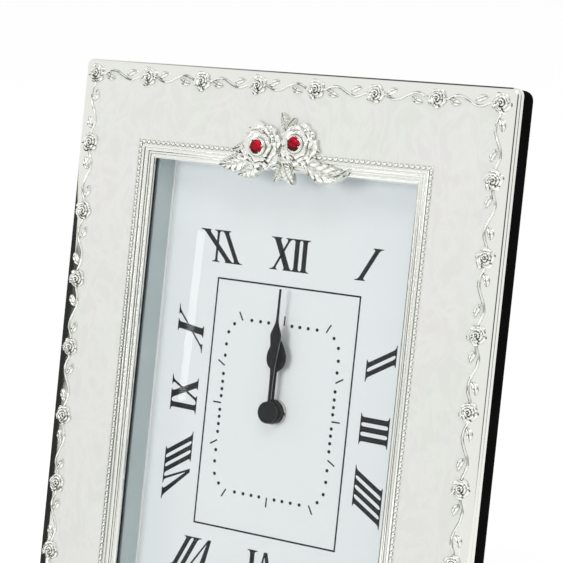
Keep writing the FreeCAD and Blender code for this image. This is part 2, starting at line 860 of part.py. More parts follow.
def clutch_washer():
    """The sprung washer that lets the hands be set while the train stands still."""
    back = third_layer - face_gap
    return collar(clutch_radius, arbor_radius, back - clutch_thickness, back)


def hour_wheel():
    """The hour wheel with its pipe, which carries the hour hand in front of the dial."""
    module = module_for(motion_distance, motion_pinion_teeth, hour_teeth)
    turn = mesh_turn(0, motion_pinion_teeth, hour_teeth, motion_direction_deg + 180)
    wheel = wheel_teeth(hour_teeth, module, (0, 0), turn, hour_layer, hour_layer + wheel_thickness, 0)
    wheel = wheel.fuse(disc(hour_pipe_radius, hour_boss_front, hour_layer))
    return wheel.cut(disc(arbor_radius + running_gap, hour_boss_front - cut_overrun,
                          hour_layer + wheel_thickness + cut_overrun))


def motion_wheel():
    """The motion wheel with its pinion, on the arbor that the set knob turns."""
    module = module_for(motion_distance, cannon_teeth, motion_teeth)
    small_module = module_for(motion_distance, motion_pinion_teeth, hour_teeth)
    turn = mesh_turn(0, cannon_teeth, motion_teeth, motion_direction_deg)
    wheel = wheel_teeth(motion_teeth, module, motion_place, turn, motion_layer,
                        motion_layer + wheel_thickness, 0)
    wheel = wheel.fuse(pinion_teeth(motion_pinion_teeth, small_module, motion_place, 0, hour_layer,
                                    motion_layer, 0))
    start = inner_front - pivot_depth + face_gap
    return wheel.fuse(disc(motion_arbor_radius, start, movement_back + knob_gap,
                           motion_place[0], motion_place[1]))


def set_knob():
    """The fluted knob behind the movement that sets the hands."""
    front = movement_back + knob_gap
    points = []
    for index in range(2 * knob_flutes):
        angle = math.pi * index / knob_flutes
        reach = knob_radius if index % 2 == 0 else knob_radius * knob_flute_share
        points.append((motion_place[0] + reach * math.cos(angle), motion_place[1] + reach * math.sin(angle)))
    return frustum(points, motion_place, knob_flute_share, front, front + knob_height)


def train_arbor(place, start, boss_start):
    """A thin arbor from its front pivot to its back pivot."""
    return disc(train_arbor_radius, start, boss_start + pivot_depth - face_gap, place[0], place[1])


def centre_wheel():
    """The wheel that carries the centre arbor round through the clutch."""
    module = module_for(third_distance, third_pinion_teeth, centre_teeth)
    turn = mesh_turn(0, third_pinion_teeth, centre_teeth, third_direction_deg + 180)
    return wheel_teeth(centre_teeth, module, (0, 0), turn, centre_layer, centre_layer + wheel_thickness,
                       arbor_radius + running_gap)


def third_wheel():
    """The third wheel, with the pinion that drives the centre wheel."""
    module = module_for(third_distance, seconds_pinion_teeth, third_teeth)
    small_module = module_for(third_distance, third_pinion_teeth, centre_teeth)
    turn = mesh_turn(0, seconds_pinion_teeth, third_teeth, third_direction_deg)
    wheel = wheel_teeth(third_teeth, module, third_place, turn, third_layer,
                        third_layer + fine_wheel_thickness, 0)
    pinion = pinion_teeth(third_pinion_teeth, small_module, third_place, 0, centre_layer, third_layer, 0)
    arbor = train_arbor(third_place, mid_back - pivot_depth + face_gap, train_arbors()[1][1])
    return wheel.fuse(pinion).fuse(arbor)


def seconds_wheel():
    """The seconds wheel, with the pinion that drives the third wheel."""
    module = module_for(intermediate_distance, intermediate_pinion_teeth, seconds_teeth)
    small_module = module_for(third_distance, seconds_pinion_teeth, third_teeth)
    turn = mesh_turn(0, intermediate_pinion_teeth, seconds_teeth, intermediate_direction_deg + 180)
    wheel = wheel_teeth(seconds_teeth, module, (0, 0), turn, seconds_layer,
                        seconds_layer + fine_wheel_thickness, 0)
    pinion = pinion_teeth(seconds_pinion_teeth, small_module, (0, 0), 0, third_layer, seconds_layer, 0)
    arbor = train_arbor((0, 0), third_layer - face_gap - pivot_depth, train_arbors()[0][1])
    return wheel.fuse(pinion).fuse(arbor)


def intermediate_wheel():
    """The intermediate wheel, with the pinion that drives the seconds wheel."""
    module = module_for(rotor_distance, rotor_teeth, intermediate_teeth)
    small_module = module_for(intermediate_distance, intermediate_pinion_teeth, seconds_teeth)
    place = intermediate_place
    wheel = wheel_teeth(intermediate_teeth, module, place, 0, intermediate_layer,
                        intermediate_layer + fine_wheel_thickness, 0)
    pinion = pinion_teeth(intermediate_pinion_teeth, small_module, place, 0, seconds_layer,
                          intermediate_layer, 0)
    arbor = train_arbor(place, mid_back - pivot_depth + face_gap, train_arbors()[2][1])
    return wheel.fuse(pinion).fuse(arbor)


def rotor():
    """The motor's rotor: a pinion on its arbor, and the magnet ring on it."""
    module = module_for(rotor_distance, rotor_teeth, intermediate_teeth)
    turn = mesh_turn(0, intermediate_teeth, rotor_teeth, rotor_direction_deg)
    pinion = pinion_teeth(rotor_teeth, module, rotor_place, turn, intermediate_layer, magnet_front, 0)
    arbor = train_arbor(rotor_place, mid_back - pivot_depth + face_gap, train_arbors()[3][1])
    magnet = collar(magnet_radius, train_arbor_radius, magnet_front, magnet_back,
                    rotor_place[0], rotor_place[1])
    return pinion.fuse(arbor), magnet


def motor():
    """The stator plate, the coil's core, its bobbin and its winding."""
    stator_front = (magnet_front + magnet_back - stator_thickness) / 2
    stator_back = stator_front + stator_thickness
    reach = magnet_radius + rotor_air_gap
    low = rotor_place[1] - reach - stator_web
    top = coil_height + core_height / 2
    yoke_top = rotor_place[1] + reach + stator_web
    x = rotor_place[0]
    leg_inner = stator_width / 2 - stator_leg_width
    points = [(x - stator_width / 2, low), (x + stator_width / 2, low), (x + stator_width / 2, top),
              (x + leg_inner, top), (x + leg_inner, yoke_top), (x - leg_inner, yoke_top),
              (x - leg_inner, top), (x - stator_width / 2, top)]
    stator = plate_from(points, stator_front, stator_back)
    stator = stator.cut(disc(reach, stator_front - cut_overrun, stator_back + cut_overrun, x, rotor_place[1]))
    core_back = stator_back + core_thickness
    core = rounded_slab(stator_width, core_height, 0, stator_back, core_back, x, coil_height)
    middle = (stator_back + core_back) / 2
    tunnel = rounded_slab(bobbin_length + cut_overrun, core_height, 0, stator_back, core_back, x, coil_height)
    tube_radius = math.hypot(core_height / 2, core_thickness / 2) + bobbin_wall
    start = vec(x - bobbin_length / 2, middle, coil_height)
    tube = Part.makeCylinder(tube_radius, bobbin_length, start, vec(1, 0, 0))
    bobbin = tube
    for side in (-1, 1):
        flange_x = x + side * (bobbin_length - flange_thickness) / 2
        flange = Part.makeBox(flange_thickness, flange_size, flange_size,
                              vec(flange_x - flange_thickness / 2, middle - flange_size / 2,
                                  coil_height - flange_size / 2))
        bobbin = bobbin.fuse(flange)
    bobbin = bobbin.cut(tunnel)
    wound = bobbin_length - 2 * flange_thickness
    winding_start = vec(x - wound / 2, middle, coil_height)
    winding = Part.makeCylinder(winding_radius, wound, winding_start, vec(1, 0, 0)).cut(tube)
    return stator, core, bobbin, winding


def circuit():
    """The narrow circuit board along the battery divider, and the quartz crystal's can lying on it."""
    middle_z = train_low + circuit_thickness / 2
    board = rounded_slab(circuit_width, circuit_thickness, 0, circuit_front, circuit_front + circuit_depth,
                         0, middle_z)
    can_x = -circuit_width * crystal_can_place_share - crystal_can_length / 2
    can = Part.makeCylinder(crystal_can_radius, crystal_can_length,
                            vec(can_x, circuit_front + circuit_depth / 2,
                                train_low + circuit_thickness + crystal_can_radius), vec(1, 0, 0))
    return board, can


def battery_centre():
    """Depth and height of the battery's axis in its bay."""
    return inner_front + battery_floor_gap + battery_radius, bay_low + bay_height / 2


def battery_flat_end():
    """Where the cell's flat end lies, with its nub against the positive strip."""
    return circuit_width / 2 - battery_length - battery_nub_length


def battery():
    """The round cell, which lies across the clock with its nub to the right."""
    depth, z = battery_centre()
    start = battery_flat_end()
    cell = Part.makeCylinder(battery_radius, battery_length, vec(start, depth, z), vec(1, 0, 0))
    nub = Part.makeCylinder(battery_nub_radius, battery_nub_length, vec(start + battery_length, depth, z),
                            vec(1, 0, 0))
    return cell.fuse(nub)


def contacts():
    """The two contact strips at the ends of the bay, which reach through the divider to the circuit board."""
    depth, z = battery_centre()
    low = z - contact_width / 2
    high = train_low + circuit_thickness
    strips = []
    for x in (-circuit_width / 2 - contact_thickness, circuit_width / 2):
        strips.append(Part.makeBox(contact_thickness, contact_width, high - low,
                                   vec(x, depth - contact_width / 2, low)))
    # The negative strip bows in to press on the flat end of the cell
    wall_x = -circuit_width / 2
    crest_x = battery_flat_end()
    reach = contact_width / 2
    bow = plate_from([(wall_x, z - reach), (crest_x, z - contact_thickness), (crest_x, z + contact_thickness),
                      (wall_x, z + reach), (wall_x, z + reach - 2 * contact_thickness),
                      (crest_x - contact_thickness, z), (wall_x, z - reach + 2 * contact_thickness)],
                     depth - contact_width / 4, depth + contact_width / 4)
    return strips[1], strips[0].fuse(bow)


def blade(length, shares, front):
    """The flat part of a hand that points up, from half widths along it."""
    right = [(half * length, along * length) for along, half in shares]
    left = [(-x, z) for x, z in reversed(right)]
    return plate_from(right + left, front, front + hand_thickness)


def hour_hand():
    """The hour hand, with its spade and the boss that grips the hour pipe."""
    front = hour_boss_front + hand_hub_gap
    hand = blade(hour_hand_length, hour_outline_shares, front)
    hand = hand.fuse(disc(hour_hand_length * hour_spade_share, front, front + hand_thickness, 0,
                          hour_hand_length * hour_spade_place_share))
    hand = hand.fuse(disc(hour_boss_radius, hour_boss_front, hour_boss_back))
    return hand.cut(disc(hour_pipe_radius, hour_boss_front - cut_overrun, hour_boss_back + cut_overrun))


def minute_hand():
    """The minute hand, which swells before its thin tip, and the closed hub that caps the centre arbor."""
    front = minute_hub_back - 2 * hand_thickness
    hand = blade(minute_hand_length, minute_outline_shares, front)
    hub = disc(minute_hub_radius, minute_hub_front, minute_hub_back)
    rim = [edge for edge in hub.Edges if abs(edge.BoundBox.YMax - minute_hub_front) < touch]
    hub = hub.makeChamfer(hand_thickness, rim)
    hand = hand.fuse(hub)
    return hand.cut(disc(arbor_radius, minute_hub_front + hand_thickness, minute_hub_back + cut_overrun))


def back_board():
    """The black-covered board that closes the back, with the movement's cut-out and the rivets' holes."""
    board = rounded_slab(board_width, board_height, board_corner_radius, board_front, board_back)
    cutout = movement_width + 2 * sheet_gap
    board = board.cut(rounded_slab(cutout, cutout, movement_corner_radius, board_front - cut_overrun,
                                   board_back + cut_overrun))
    for x, z in plate_rivet_places():
        board = board.cut(disc(rivet_radius, board_front - cut_overrun, board_back + cut_overrun, x, z))
    return board


def turn_button(place, side):
    """A cranked strip on a screw: its foot lies on the body and its arm laps over the board."""
    x, z = place
    foot_back = board_front + face_gap + button_thickness
    arm_front = board_back + face_gap
    arm_back = arm_front + button_thickness
    foot = disc(button_foot_radius, board_front + face_gap, foot_back, x, z)
    step = button_foot_radius - button_thickness
    riser = rounded_slab(button_thickness, button_arm_width, 0, board_front + face_gap, arm_back,
                         x - side * (step + button_thickness / 2), z)
    arm_length = button_arm_reach - step
    arm = rounded_slab(arm_length, button_arm_width, 0, arm_front, arm_back,
                       x - side * (step + arm_length / 2), z)
    button = foot.fuse(riser).fuse(arm)
    return button.cut(disc(button_bore_radius, board_front - cut_overrun, foot_back + cut_overrun, x, z))


def turn_button_screws():
    """The screws that hold the turn buttons to the body."""
    head_back = board_front + 2 * face_gap + button_thickness + screw_head_height
    length = 2 * face_gap + button_thickness + screw_length
    return group([slotted_screw(x, z, head_back, screw_head_height, screw_head_radius, screw_shank_radius,
                                length) for x, z in button_places()])


def plate_rivet_places():
    """Rivets through the hinge plate into the board."""
    z = pin_z + hinge_barrel_radius + (hinge_plate_height - hinge_barrel_radius) / 2
    return [(side * rivet_x, z) for side in (-1, 1)]


def leaf_rivet_places():
    """Rivets through the hinge leaf into the leg, with the leg folded flat."""
    z = pin_z - leg_top_gap - (hinge_leaf_height - leg_top_gap) / 2
    return [(side * rivet_x, z) for side in (-1, 1)]


def barrel(start_x, length, radius):
    """A knuckle or pin along the hinge's axis."""
    return Part.makeCylinder(radius, length, vec(start_x, pin_depth, pin_z), vec(1, 0, 0))


def hinge_plate():
    """The hinge's fixed plate with its two outer knuckles."""
    plate = Part.makeBox(hinge_width, hinge_leaf_thickness, hinge_plate_height,
                         vec(-hinge_width / 2, board_back, pin_z))
    middle = hinge_width - 2 * hinge_knuckle_width
    notch_top = hinge_barrel_radius + sheet_gap
    notch = Part.makeBox(middle, hinge_leaf_thickness + 2 * cut_overrun, notch_top + cut_overrun,
                         vec(-middle / 2, board_back - cut_overrun, pin_z - cut_overrun))
    plate = plate.cut(notch)
    for side in (-1, 1):
        start = -hinge_width / 2 if side < 0 else hinge_width / 2 - hinge_knuckle_width
        plate = plate.fuse(barrel(start, hinge_knuckle_width, hinge_barrel_radius))
    plate = plate.cut(barrel(-hinge_width / 2 - cut_overrun, hinge_width + 2 * cut_overrun, hinge_pin_radius))
    for x, z in plate_rivet_places():
        plate = plate.cut(disc(rivet_radius, board_back - cut_overrun, board_back + hinge_leaf_thickness
                               + cut_overrun, x, z))
    return plate


def hinge_pin():
    """The pin through all three knuckles."""
    return barrel(-hinge_width / 2, hinge_width, hinge_pin_radius)


def hinge_leaf():
    """The moving leaf: middle knuckle, the strip riveted to the leg, and the tongue that stops it open."""
    middle = hinge_width - 2 * hinge_knuckle_width - 2 * face_gap
    leaf_back = pin_depth + hinge_barrel_radius
    leaf_front = leaf_back - hinge_leaf_thickness
    strip = Part.makeBox(hinge_width, hinge_leaf_thickness, hinge_leaf_height - leg_top_gap,
                         vec(-hinge_width / 2, leaf_front, pin_z - hinge_leaf_height))
    neck = Part.makeBox(middle, hinge_leaf_thickness, leg_top_gap,
                        vec(-middle / 2, leaf_front, pin_z - leg_top_gap))
    leaf = strip.fuse(neck).fuse(barrel(-middle / 2, middle, hinge_barrel_radius))
    leaf = leaf.cut(barrel(-middle / 2 - cut_overrun, middle + 2 * cut_overrun,
                           hinge_pin_radius + running_gap))
    for x, z in leaf_rivet_places():
        leaf = leaf.cut(disc(rivet_radius, leaf_front - cut_overrun, leaf_back + cut_overrun, x, z))
    return leaf


def hinge_tongue():
    """The stop on the middle knuckle, as it stands with the leg open: it lies along the fixed plate."""
    middle = hinge_width - 2 * hinge_knuckle_width - 2 * face_gap
    tongue_front = board_back + hinge_leaf_thickness + face_gap
    tongue_back = tongue_front + hinge_leaf_thickness
    tongue = Part.makeBox(middle, tongue_back - tongue_front, hinge_barrel_radius + hinge_stop_height,
                          vec(-middle / 2, tongue_front, pin_z))
    return tongue.cut(barrel(-hinge_width, 2 * hinge_width, (hinge_barrel_radius + hinge_pin_radius) / 2))


def folded_leg():
    """The leg folded flat against the board, longer than it ends up, so that its foot can be cut level."""
    front = pin_depth + hinge_barrel_radius - hinge_leaf_thickness - leg_thickness
    top = pin_z - leg_top_gap
    bottom = -half_height - half_height / 4
    length = top - bottom
    reach = half_height + pin_z - leg_top_gap
    foot_half = leg_top_width / 2 + (leg_foot_width - leg_top_width) / 2 * length / reach
    leg = plate_from([(-leg_top_width / 2, top), (leg_top_width / 2, top), (foot_half, bottom),
                      (-foot_half, bottom)], front, front + leg_thickness)
    for x, z in leaf_rivet_places():
        leg = leg.cut(disc(rivet_radius, front - cut_overrun, front + leg_thickness + cut_overrun, x, z))
    return leg


def rivets(places, seat, grip):
    """Round-head rivets set from the back."""
    shapes = []
    for x, z in places:
        shank = disc(rivet_radius, seat - grip, seat, x, z)
        head = Part.makeCone(rivet_head_radius, rivet_radius, rivet_head_height, vec(x, seat, z),
                             vec(0, 1, 0))
        shapes.append(shank.fuse(head))
    return group(shapes)


def opened(shape):
    """Swing a piece of the leg from folded flat to standing open."""
    swung = shape.copy()
    swing = FreeCAD.Placement(vec(0, 0, 0), FreeCAD.Rotation(vec(1, 0, 0), leg_open_deg),
                              vec(0, pin_depth, pin_z))
    swung.Placement = swing.multiply(swung.Placement)
    return swung


# The lean: the clock turns back about x, and its lower back edge comes to rest on the ground
lean_turn = FreeCAD.Placement(vec(0, 0, 0), FreeCAD.Rotation(vec(1, 0, 0), -lean_deg))
edge_centre = vec(0, body_depth - body_edge_radius, body_inset + body_edge_radius - half_height)
ground_lift = body_edge_radius - lean_turn.multVec(edge_centre).z


def leaned(shape):
    """Lean a piece back and lift it onto the ground."""
    moved = shape.copy()
    lift = FreeCAD.Placement(vec(0, 0, ground_lift), FreeCAD.Rotation())
    moved.Placement = lift.multiply(lean_turn).multiply(moved.Placement)
    return moved


vine_stems, vine_leaves = vine()
ornament_roses, ornament_leaves, red_stones = ornament()
rotor_pinion, rotor_magnet = rotor()
stator, coil_core, coil_bobbin, coil_winding = motor()
circuit_board, quartz_can = circuit()
positive_contact, negative_contact = contacts()

upright = {
    "front_frame": front_frame(),
    "enamel_panel": enamel_panel(),
    "vine_stems": vine_stems,
    "vine_leaves": vine_leaves,
    "border_roses": border_roses(),
    "ornament_roses": ornament_roses,
    "ornament_leaves": ornament_leaves,
    "red_stones": red_stones,
    "glass_pane": rounded_slab(photo_width, photo_height, 0, glass_front, glass_back),
    "case_body": case_body(),
    "dial_spacer": dial_spacer(),
    "dial_plate": dial_plate(),
    "dial_nut": dial_nut(),
    "rubber_gasket": rubber_gasket(),
    "hour_hand": hour_hand(),
    "minute_hand": minute_hand(),
    "movement_front_case": movement_front_case(),
    "movement_back_case": movement_back_case(),
    "case_screws": case_screws(),
    "mid_plate": mid_plate(),
    "centre_arbor": centre_arbor(),
    "clutch_washer": clutch_washer(),
    "centre_wheel": centre_wheel(),
    "hour_wheel": hour_wheel(),
    "motion_wheel": motion_wheel(),
    "set_knob": set_knob(),
    "third_wheel": third_wheel(),
    "seconds_wheel": seconds_wheel(),
    "intermediate_wheel": intermediate_wheel(),
    "rotor_pinion": rotor_pinion,
    "rotor_magnet": rotor_magnet,
    "stator": stator,
    "coil_core": coil_core,
    "coil_bobbin": coil_bobbin,
    "coil_winding": coil_winding,
    "circuit_board": circuit_board,
    "quartz_can": quartz_can,
    "battery": battery(),
    "positive_contact": positive_contact,
    "negative_contact": negative_contact,
    "back_board": back_board(),
    "turn_button_screws": turn_button_screws(),
    "hinge_plate": hinge_plate(),
    "hinge_pin": hinge_pin(),
    "plate_rivets": rivets(plate_rivet_places(), board_back + hinge_leaf_thickness,
                           hinge_leaf_thickness + board_thickness),
    "hinge_leaf": opened(hinge_leaf()).fuse(hinge_tongue()),
    "easel_leg": opened(folded_leg()),
    "leaf_rivets": opened(rivets(leaf_rivet_places(), pin_depth + hinge_barrel_radius,
                                 hinge_leaf_thickness + leg_thickness)),
}
for number, place in enumerate(button_places()):
    upright["turn_button_" + str(number + 1)] = turn_button(place, math.copysign(1, place[0]))

nodes = {name: leaned(shape) for name, shape in upright.items()}
ground = Part.makeBox(4 * frame_width, 4 * frame_width, frame_width, vec(-2 * frame_width, -2 * frame_width,
                                                                         -frame_width))
nodes["easel_leg"] = nodes["easel_leg"].cut(ground)

# Centre the clock's box over the origin
front_most = min(shape.BoundBox.YMin for shape in nodes.values())
back_most = max(shape.BoundBox.YMax for shape in nodes.values())
centring = FreeCAD.Placement(vec(0, -(front_most + back_most) / 2, 0), FreeCAD.Rotation())
for name, shape in nodes.items():
    shape.Placement = centring.multiply(shape.Placement)


def stands_at(x, y, z):
    """Where a point of the upright clock ends up once it leans on its leg."""
    point = lean_turn.multVec(vec(x, y, z))
    point.z = point.z + ground_lift
    return centring.multVec(point)


os.makedirs("parts", exist_ok=True)
for name, shape in nodes.items():
    shape.exportStep("parts/" + name + ".step")
print(len(nodes), "nodes written")
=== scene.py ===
import bmesh
import bpy
import math
import random
from bpy.props import FloatProperty, FloatVectorProperty, IntProperty, PointerProperty
from mathutils import Matrix, Vector
from mathutils.geometry import tessellate_polygon


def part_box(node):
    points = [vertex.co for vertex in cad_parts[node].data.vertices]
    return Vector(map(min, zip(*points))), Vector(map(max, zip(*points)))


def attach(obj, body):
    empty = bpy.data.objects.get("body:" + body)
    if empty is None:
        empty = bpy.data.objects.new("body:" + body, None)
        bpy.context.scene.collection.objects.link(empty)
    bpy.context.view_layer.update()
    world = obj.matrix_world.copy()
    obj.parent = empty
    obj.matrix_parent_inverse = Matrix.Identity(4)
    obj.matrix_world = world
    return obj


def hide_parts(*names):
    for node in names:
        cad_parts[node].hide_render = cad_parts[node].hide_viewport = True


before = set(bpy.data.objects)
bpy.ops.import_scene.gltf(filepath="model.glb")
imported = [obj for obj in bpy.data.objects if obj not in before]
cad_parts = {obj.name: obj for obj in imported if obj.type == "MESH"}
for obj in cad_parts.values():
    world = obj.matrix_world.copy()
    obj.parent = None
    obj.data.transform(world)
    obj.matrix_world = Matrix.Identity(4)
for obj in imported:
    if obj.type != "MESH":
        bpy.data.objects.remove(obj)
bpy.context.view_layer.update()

bl_info = {
    "name": "Photo frame clock",
    "version": (1, 0, 0),
    "blender": (4, 5, 0),
    "location": "View3D > Sidebar > Clock",
    "description": "Carving, beads, dial print, hands and finishes of a photo frame clock",
    "category": "Add Mesh",
}

# Shapes are worked out in upright millimetres: x to the right, depth from the rim's front plane to the
# back, z up from the dial's centre. STAND leans them back and puts them where the clock stands.
# A metre has MM of them
MM = 1000
LEAN = math.radians(10.67)
HALF_WIDTH = 75.0
HALF_HEIGHT = 101.0
GLASS_MIDDLE = 3.0


def stand_matrix():
    turn = Matrix.Rotation(-LEAN, 4, "X")
    low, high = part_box("glass_pane")
    origin = (low + high) / 2 - turn @ Vector((0, GLASS_MIDDLE / MM, 0))
    return Matrix.Translation(origin) @ turn @ Matrix.Scale(1 / MM, 4)


STAND = stand_matrix()

# Colours of the finishes that no property sets
# Bare metal of the hands' cut sides, which also serves as a painted edge highlight
BARE_METAL_HIGHLIGHT = (0.55, 0.56, 0.55)
COPPER = (0.80, 0.34, 0.16)
GLASS_TINTS = ((0.975, 0.985, 0.985), (0.99, 0.995, 0.995))
# Shares of the enamel's colour in its two tints, and in its pearl, which stays under the limit
ENAMEL_TINTS = ((1.01, 0.985, 1.01), (0.985, 1.0, 0.985))
PEARL_SHARE = 1.08
PEARL_LIMIT = 0.93

# Front casting: inset from the outer edge, depth, and how far the line to this point bows out
SHELL_WALL = 0.8
SHELL_BACK = 3.95
CASTING_BACK = 2.0
BED_DEPTH = 0.3
CASTING_PROFILE = (
    (0.0, SHELL_BACK), (0.0, 2.45), (0.1, 2.35), (0.05, 2.25), (0.05, 0.9), (0.12, 0.8), (3.2, 0.0, 0.2),
    (6.9, 0.0), (6.9, BED_DEPTH), (23.45, BED_DEPTH), (23.45, 0.0), (23.62, 0.0), (23.62, 0.18),
    (24.78, 0.18), (24.84, -0.1), (25.0, -0.25), (25.75, -0.2, 0.1), (25.8, 0.28), (25.87, 0.28),
    (25.92, 0.15), (26.95, 0.42, 0.09), (26.98, 0.85), (27.05, 0.85), (27.09, 0.66), (27.6, 0.74, 0.06),
    (27.63, 1.1), (27.7, 1.1), (27.74, 0.95), (28.9, 1.35, 0.18), (28.9, CASTING_BACK),
    (SHELL_WALL, CASTING_BACK), (SHELL_WALL, SHELL_BACK),
)
CORNER_RADIUS = 2.2
# Points of a moulding that are nearer to each other than this are made one. Edges that turn by more
# degrees than the crease look sharp
WELD = 0.0005
CREASE = 35
MOULDING_CREASE = 30
BODY_CREASE = 40
CARVING_CREASE = 50
HAND_CREASE = 30
STONE_CREASE = 1
# Body: how far in it stands, how far back it reaches, its corners, back edges and opening
BODY_INSET = 0.2
BODY_BACK = 13.4
BODY_FRONT_CORNER = 1.6
BODY_CORNER = 2.6
BODY_EDGE = 4.0
BODY_EDGE_STEPS = 6
BODY_OPENING = 23.0
BEAD_INSET = 24.2
BEADS_ACROSS = 56
BEADS_UP = 85
BEAD_FOOT = 0.2
# Sides, levels and fullness of a bead
BEAD_FORM = (12, 5, 0.6)
ENAMEL_INSET = 23.4
ENAMEL_FRONT = -0.03

# Vine: roses stand on a rectangle near the edge, and a stem swings between each two of them
ROSE_INSET = 4.5
ROSES_ACROSS = 8
ROSES_UP = 10
VINE_SEED = 7
VINE_BASE = 0.06
STEM_START = 3.2
STEM_STEPS = 24
# Steps at each end of a stem that its rose hides, and how its width and height wave: share and pace
STEM_HIDDEN = 3
WIDTH_WAVE = (0.12, 1.9)
HEIGHT_WAVE = (0.08, 1.3)
# Leaves of a stem: where they start, and between which shares their slant and length vary
LEAF_FEET = (0.20, 0.60)
LEAF_SLANTS = (0.7, 1.1)
LEAF_LENGTHS = (0.94, 1.08)
LEAF_BEND = 0.3
VINE_LEAF = {"base": VINE_BASE, "height": 0.95, "teeth": 0, "veins": 3, "along": 14, "across": 10}

# Roses. Each tier: petals, inner and outer reach, foot and lip height. A large rose's reaches are shares
# of its radius. Then the turn from tier to tier, a petal's width over its part of the circle, the least
# share of reach and of rise that chance leaves, the base, the steps across and along, and how deep the
# lip's notch and ruffle are
SMALL_ROSE = {
    "tiers": ((5, 1.2, 3.08, 0.05, 0.85), (4, 0.7, 2.15, 0.25, 1.2), (3, 0.15, 1.2, 0.6, 1.46)),
    "turn": 0.7, "width": 1.12, "reach": 0.88, "rise": 0.88, "base": 0.6, "across": 8, "along": 7,
    "notch": 0.09, "ruffle": 0.0,
}
SMALL_ROSE_SEED = 3
SMALL_BUD_RADIUS = 0.42
SMALL_BUD_TOP = -1.42
LARGE_ROSE = {
    "tiers": ((5, 0.50, 1.0, 0.5, 1.9), (5, 0.44, 0.84, 1.4, 2.7), (4, 0.34, 0.66, 2.8, 3.6)),
    "turn": 0.55, "width": 1.35, "reach": 0.89, "rise": 0.87, "base": 0.4, "across": 20, "along": 14,
    "notch": 0.0, "ruffle": 0.06,
}
LARGE_ROSE_SEED = 11
ORNAMENT_Z = 76.8
ORNAMENT_SPAN = 44.0
# Each large rose: its middle's x and z as shares of the span, its radius and its turn in degrees
LARGE_ROSES = ((-0.140, 0.034, 7.1, 10.0), (0.152, 0.073, 6.3, 40.0))
# Collet that holds a stone: radius beyond the stone's, depth. Prongs stand on it
COLLET = ((-0.25, -3.2), (-0.1, -4.05), (0.2, -4.2), (0.5, -4.0), (0.6, -3.2), (0.6, 0.0))
COLLET_SIDES = 36
PRONGS = 6
PRONG_BEYOND = 0.05
PRONG_RADIUS = 0.34
PRONG_FOOT = -3.9
PRONG_TOP = -4.62
# Facets of a stone that face this way get painted highlights, the others painted shade
STONE_PAINTED_LIGHT = (0.62, -0.40, 0.68)
# Each level of a stone: share of the radius, depth, points for each facet, turn as a share of a facet
STONE_LEVELS = ((0.55, -4.8, 1, 0.0), (0.80, -4.52, 1, 0.5), (1.0, -4.0, 2, 0.0), (1.0, -3.85, 2, 0.0))
ORNAMENT_LEAF = {"base": 0.6, "height": 2.4, "teeth": 5, "veins": 6, "along": 44, "across": 28}
# Each leaf of the ornament: foot x and z, tip x and z as shares of the span, width over length, bend
ORNAMENT_LEAVES = (
    (-0.19, -0.03, -0.466, -0.108, 0.50, 0.6), (-0.13, -0.06, -0.305, -0.165, 0.58, 0.5),
    (-0.22, 0.03, -0.37, 0.0, 0.50, -0.3), (0.03, -0.07, -0.01, -0.19, 0.66, 0.4),
    (0.05, -0.06, 0.14, -0.195, 0.55, -0.4), (0.045, 0.15, 0.0, 0.275, 0.52, -0.3),
    (0.05, 0.15, 0.107, 0.245, 0.60, 0.3), (0.19, -0.03, 0.533, -0.105, 0.44, -1.5),
    (0.41, -0.125, 0.542, -0.07, 0.42, -0.6), (0.21, 0.05, 0.32, 0.035, 0.50, 0.2),
)

# Hands. An outline: share of the length from the centre, half width as a share of the length. Depths: the
# blade's front and back. A boss: radius, depth
MINUTE_LENGTH = 37.0
MINUTE_OUTLINE = (
    (0.06, 0.0150), (0.235, 0.0155), (0.33, 0.0195), (0.41, 0.0257), (0.47, 0.0325), (0.53, 0.0405),
    (0.59, 0.0485), (0.627, 0.0525), (0.67, 0.0370), (0.715, 0.0205), (0.77, 0.0120), (1.0, 0.0100),
)
MINUTE_DEPTHS = (8.0, 8.3)
MINUTE_BOSS = (
    (0.01, 7.46), (0.8, 7.45), (1.2, 7.38), (1.5, 7.3), (3.0, 7.3), (3.3, 7.55), (3.3, 8.55), (2.9, 8.6),
)
HOUR_LENGTH = 24.8
HOUR_OUTLINE = (
    (0.10, 0.028), (0.47, 0.030), (0.507, 0.055), (0.54, 0.096), (0.585, 0.127), (0.64, 0.138),
    (0.69, 0.137), (0.74, 0.124), (0.787, 0.104), (0.83, 0.078), (0.87, 0.052), (0.92, 0.024),
    (1.0, 0.004),
)
HOUR_DEPTHS = (9.55, 9.85)
HOUR_BOSS = ((2.2, 10.3), (2.2, 9.35), (3.3, 9.35), (3.5, 9.5), (3.5, 10.3), (2.2, 10.3))
# Steps between two points of an outline, the broken edge's width and the least half width
HAND_STEPS = 5
HAND_EDGE = 0.1
HAND_LEAST = 0.06
# The way a hand faces, and the radius beyond which its cut sides are bare metal that also serves as a
# painted edge highlight
HAND_FRONT = (0.0, -math.cos(LEAN), math.sin(LEAN))
BARE_HIGHLIGHT_BEYOND = 4.0

# Dial print
DIAL_FRONT = 12.2
PRINT_HEIGHT = 0.03
PRINT_FOOT = 0.01
# The loops of a numeral take turns in these layers, so that loops that cross aren't in one plane
PRINT_LAYERS = 3
LAYER_RISE = 0.001
LETTER_HALF = 4.9
SERIF_THICKNESS = 0.28
SERIF_REACH = 1.15
# A stroke of a letter: foot and head along the line, their widths, foot and head serif
STROKES = {
    "I": ((0.0, 0.0, 1.6, 1.6, 3.6, 3.6),),
    "V": ((0.2, -2.1, 1.1, 2.05, 0.0, 3.7), (0.5, 2.5, 0.6, 0.8, 0.0, 2.9)),
    "X": ((2.35, -2.25, 2.05, 2.05, 3.5, 3.7), (-2.75, 2.55, 0.8, 0.8, 2.7, 3.1)),
}
# Width of a letter alone, and the room that it takes beside another
LETTER_WIDTHS = {"I": 3.55, "V": 7.8, "X": 8.1}
LETTER_ROOMS = {"I": 2.8, "V": 7.1, "X": 7.4}
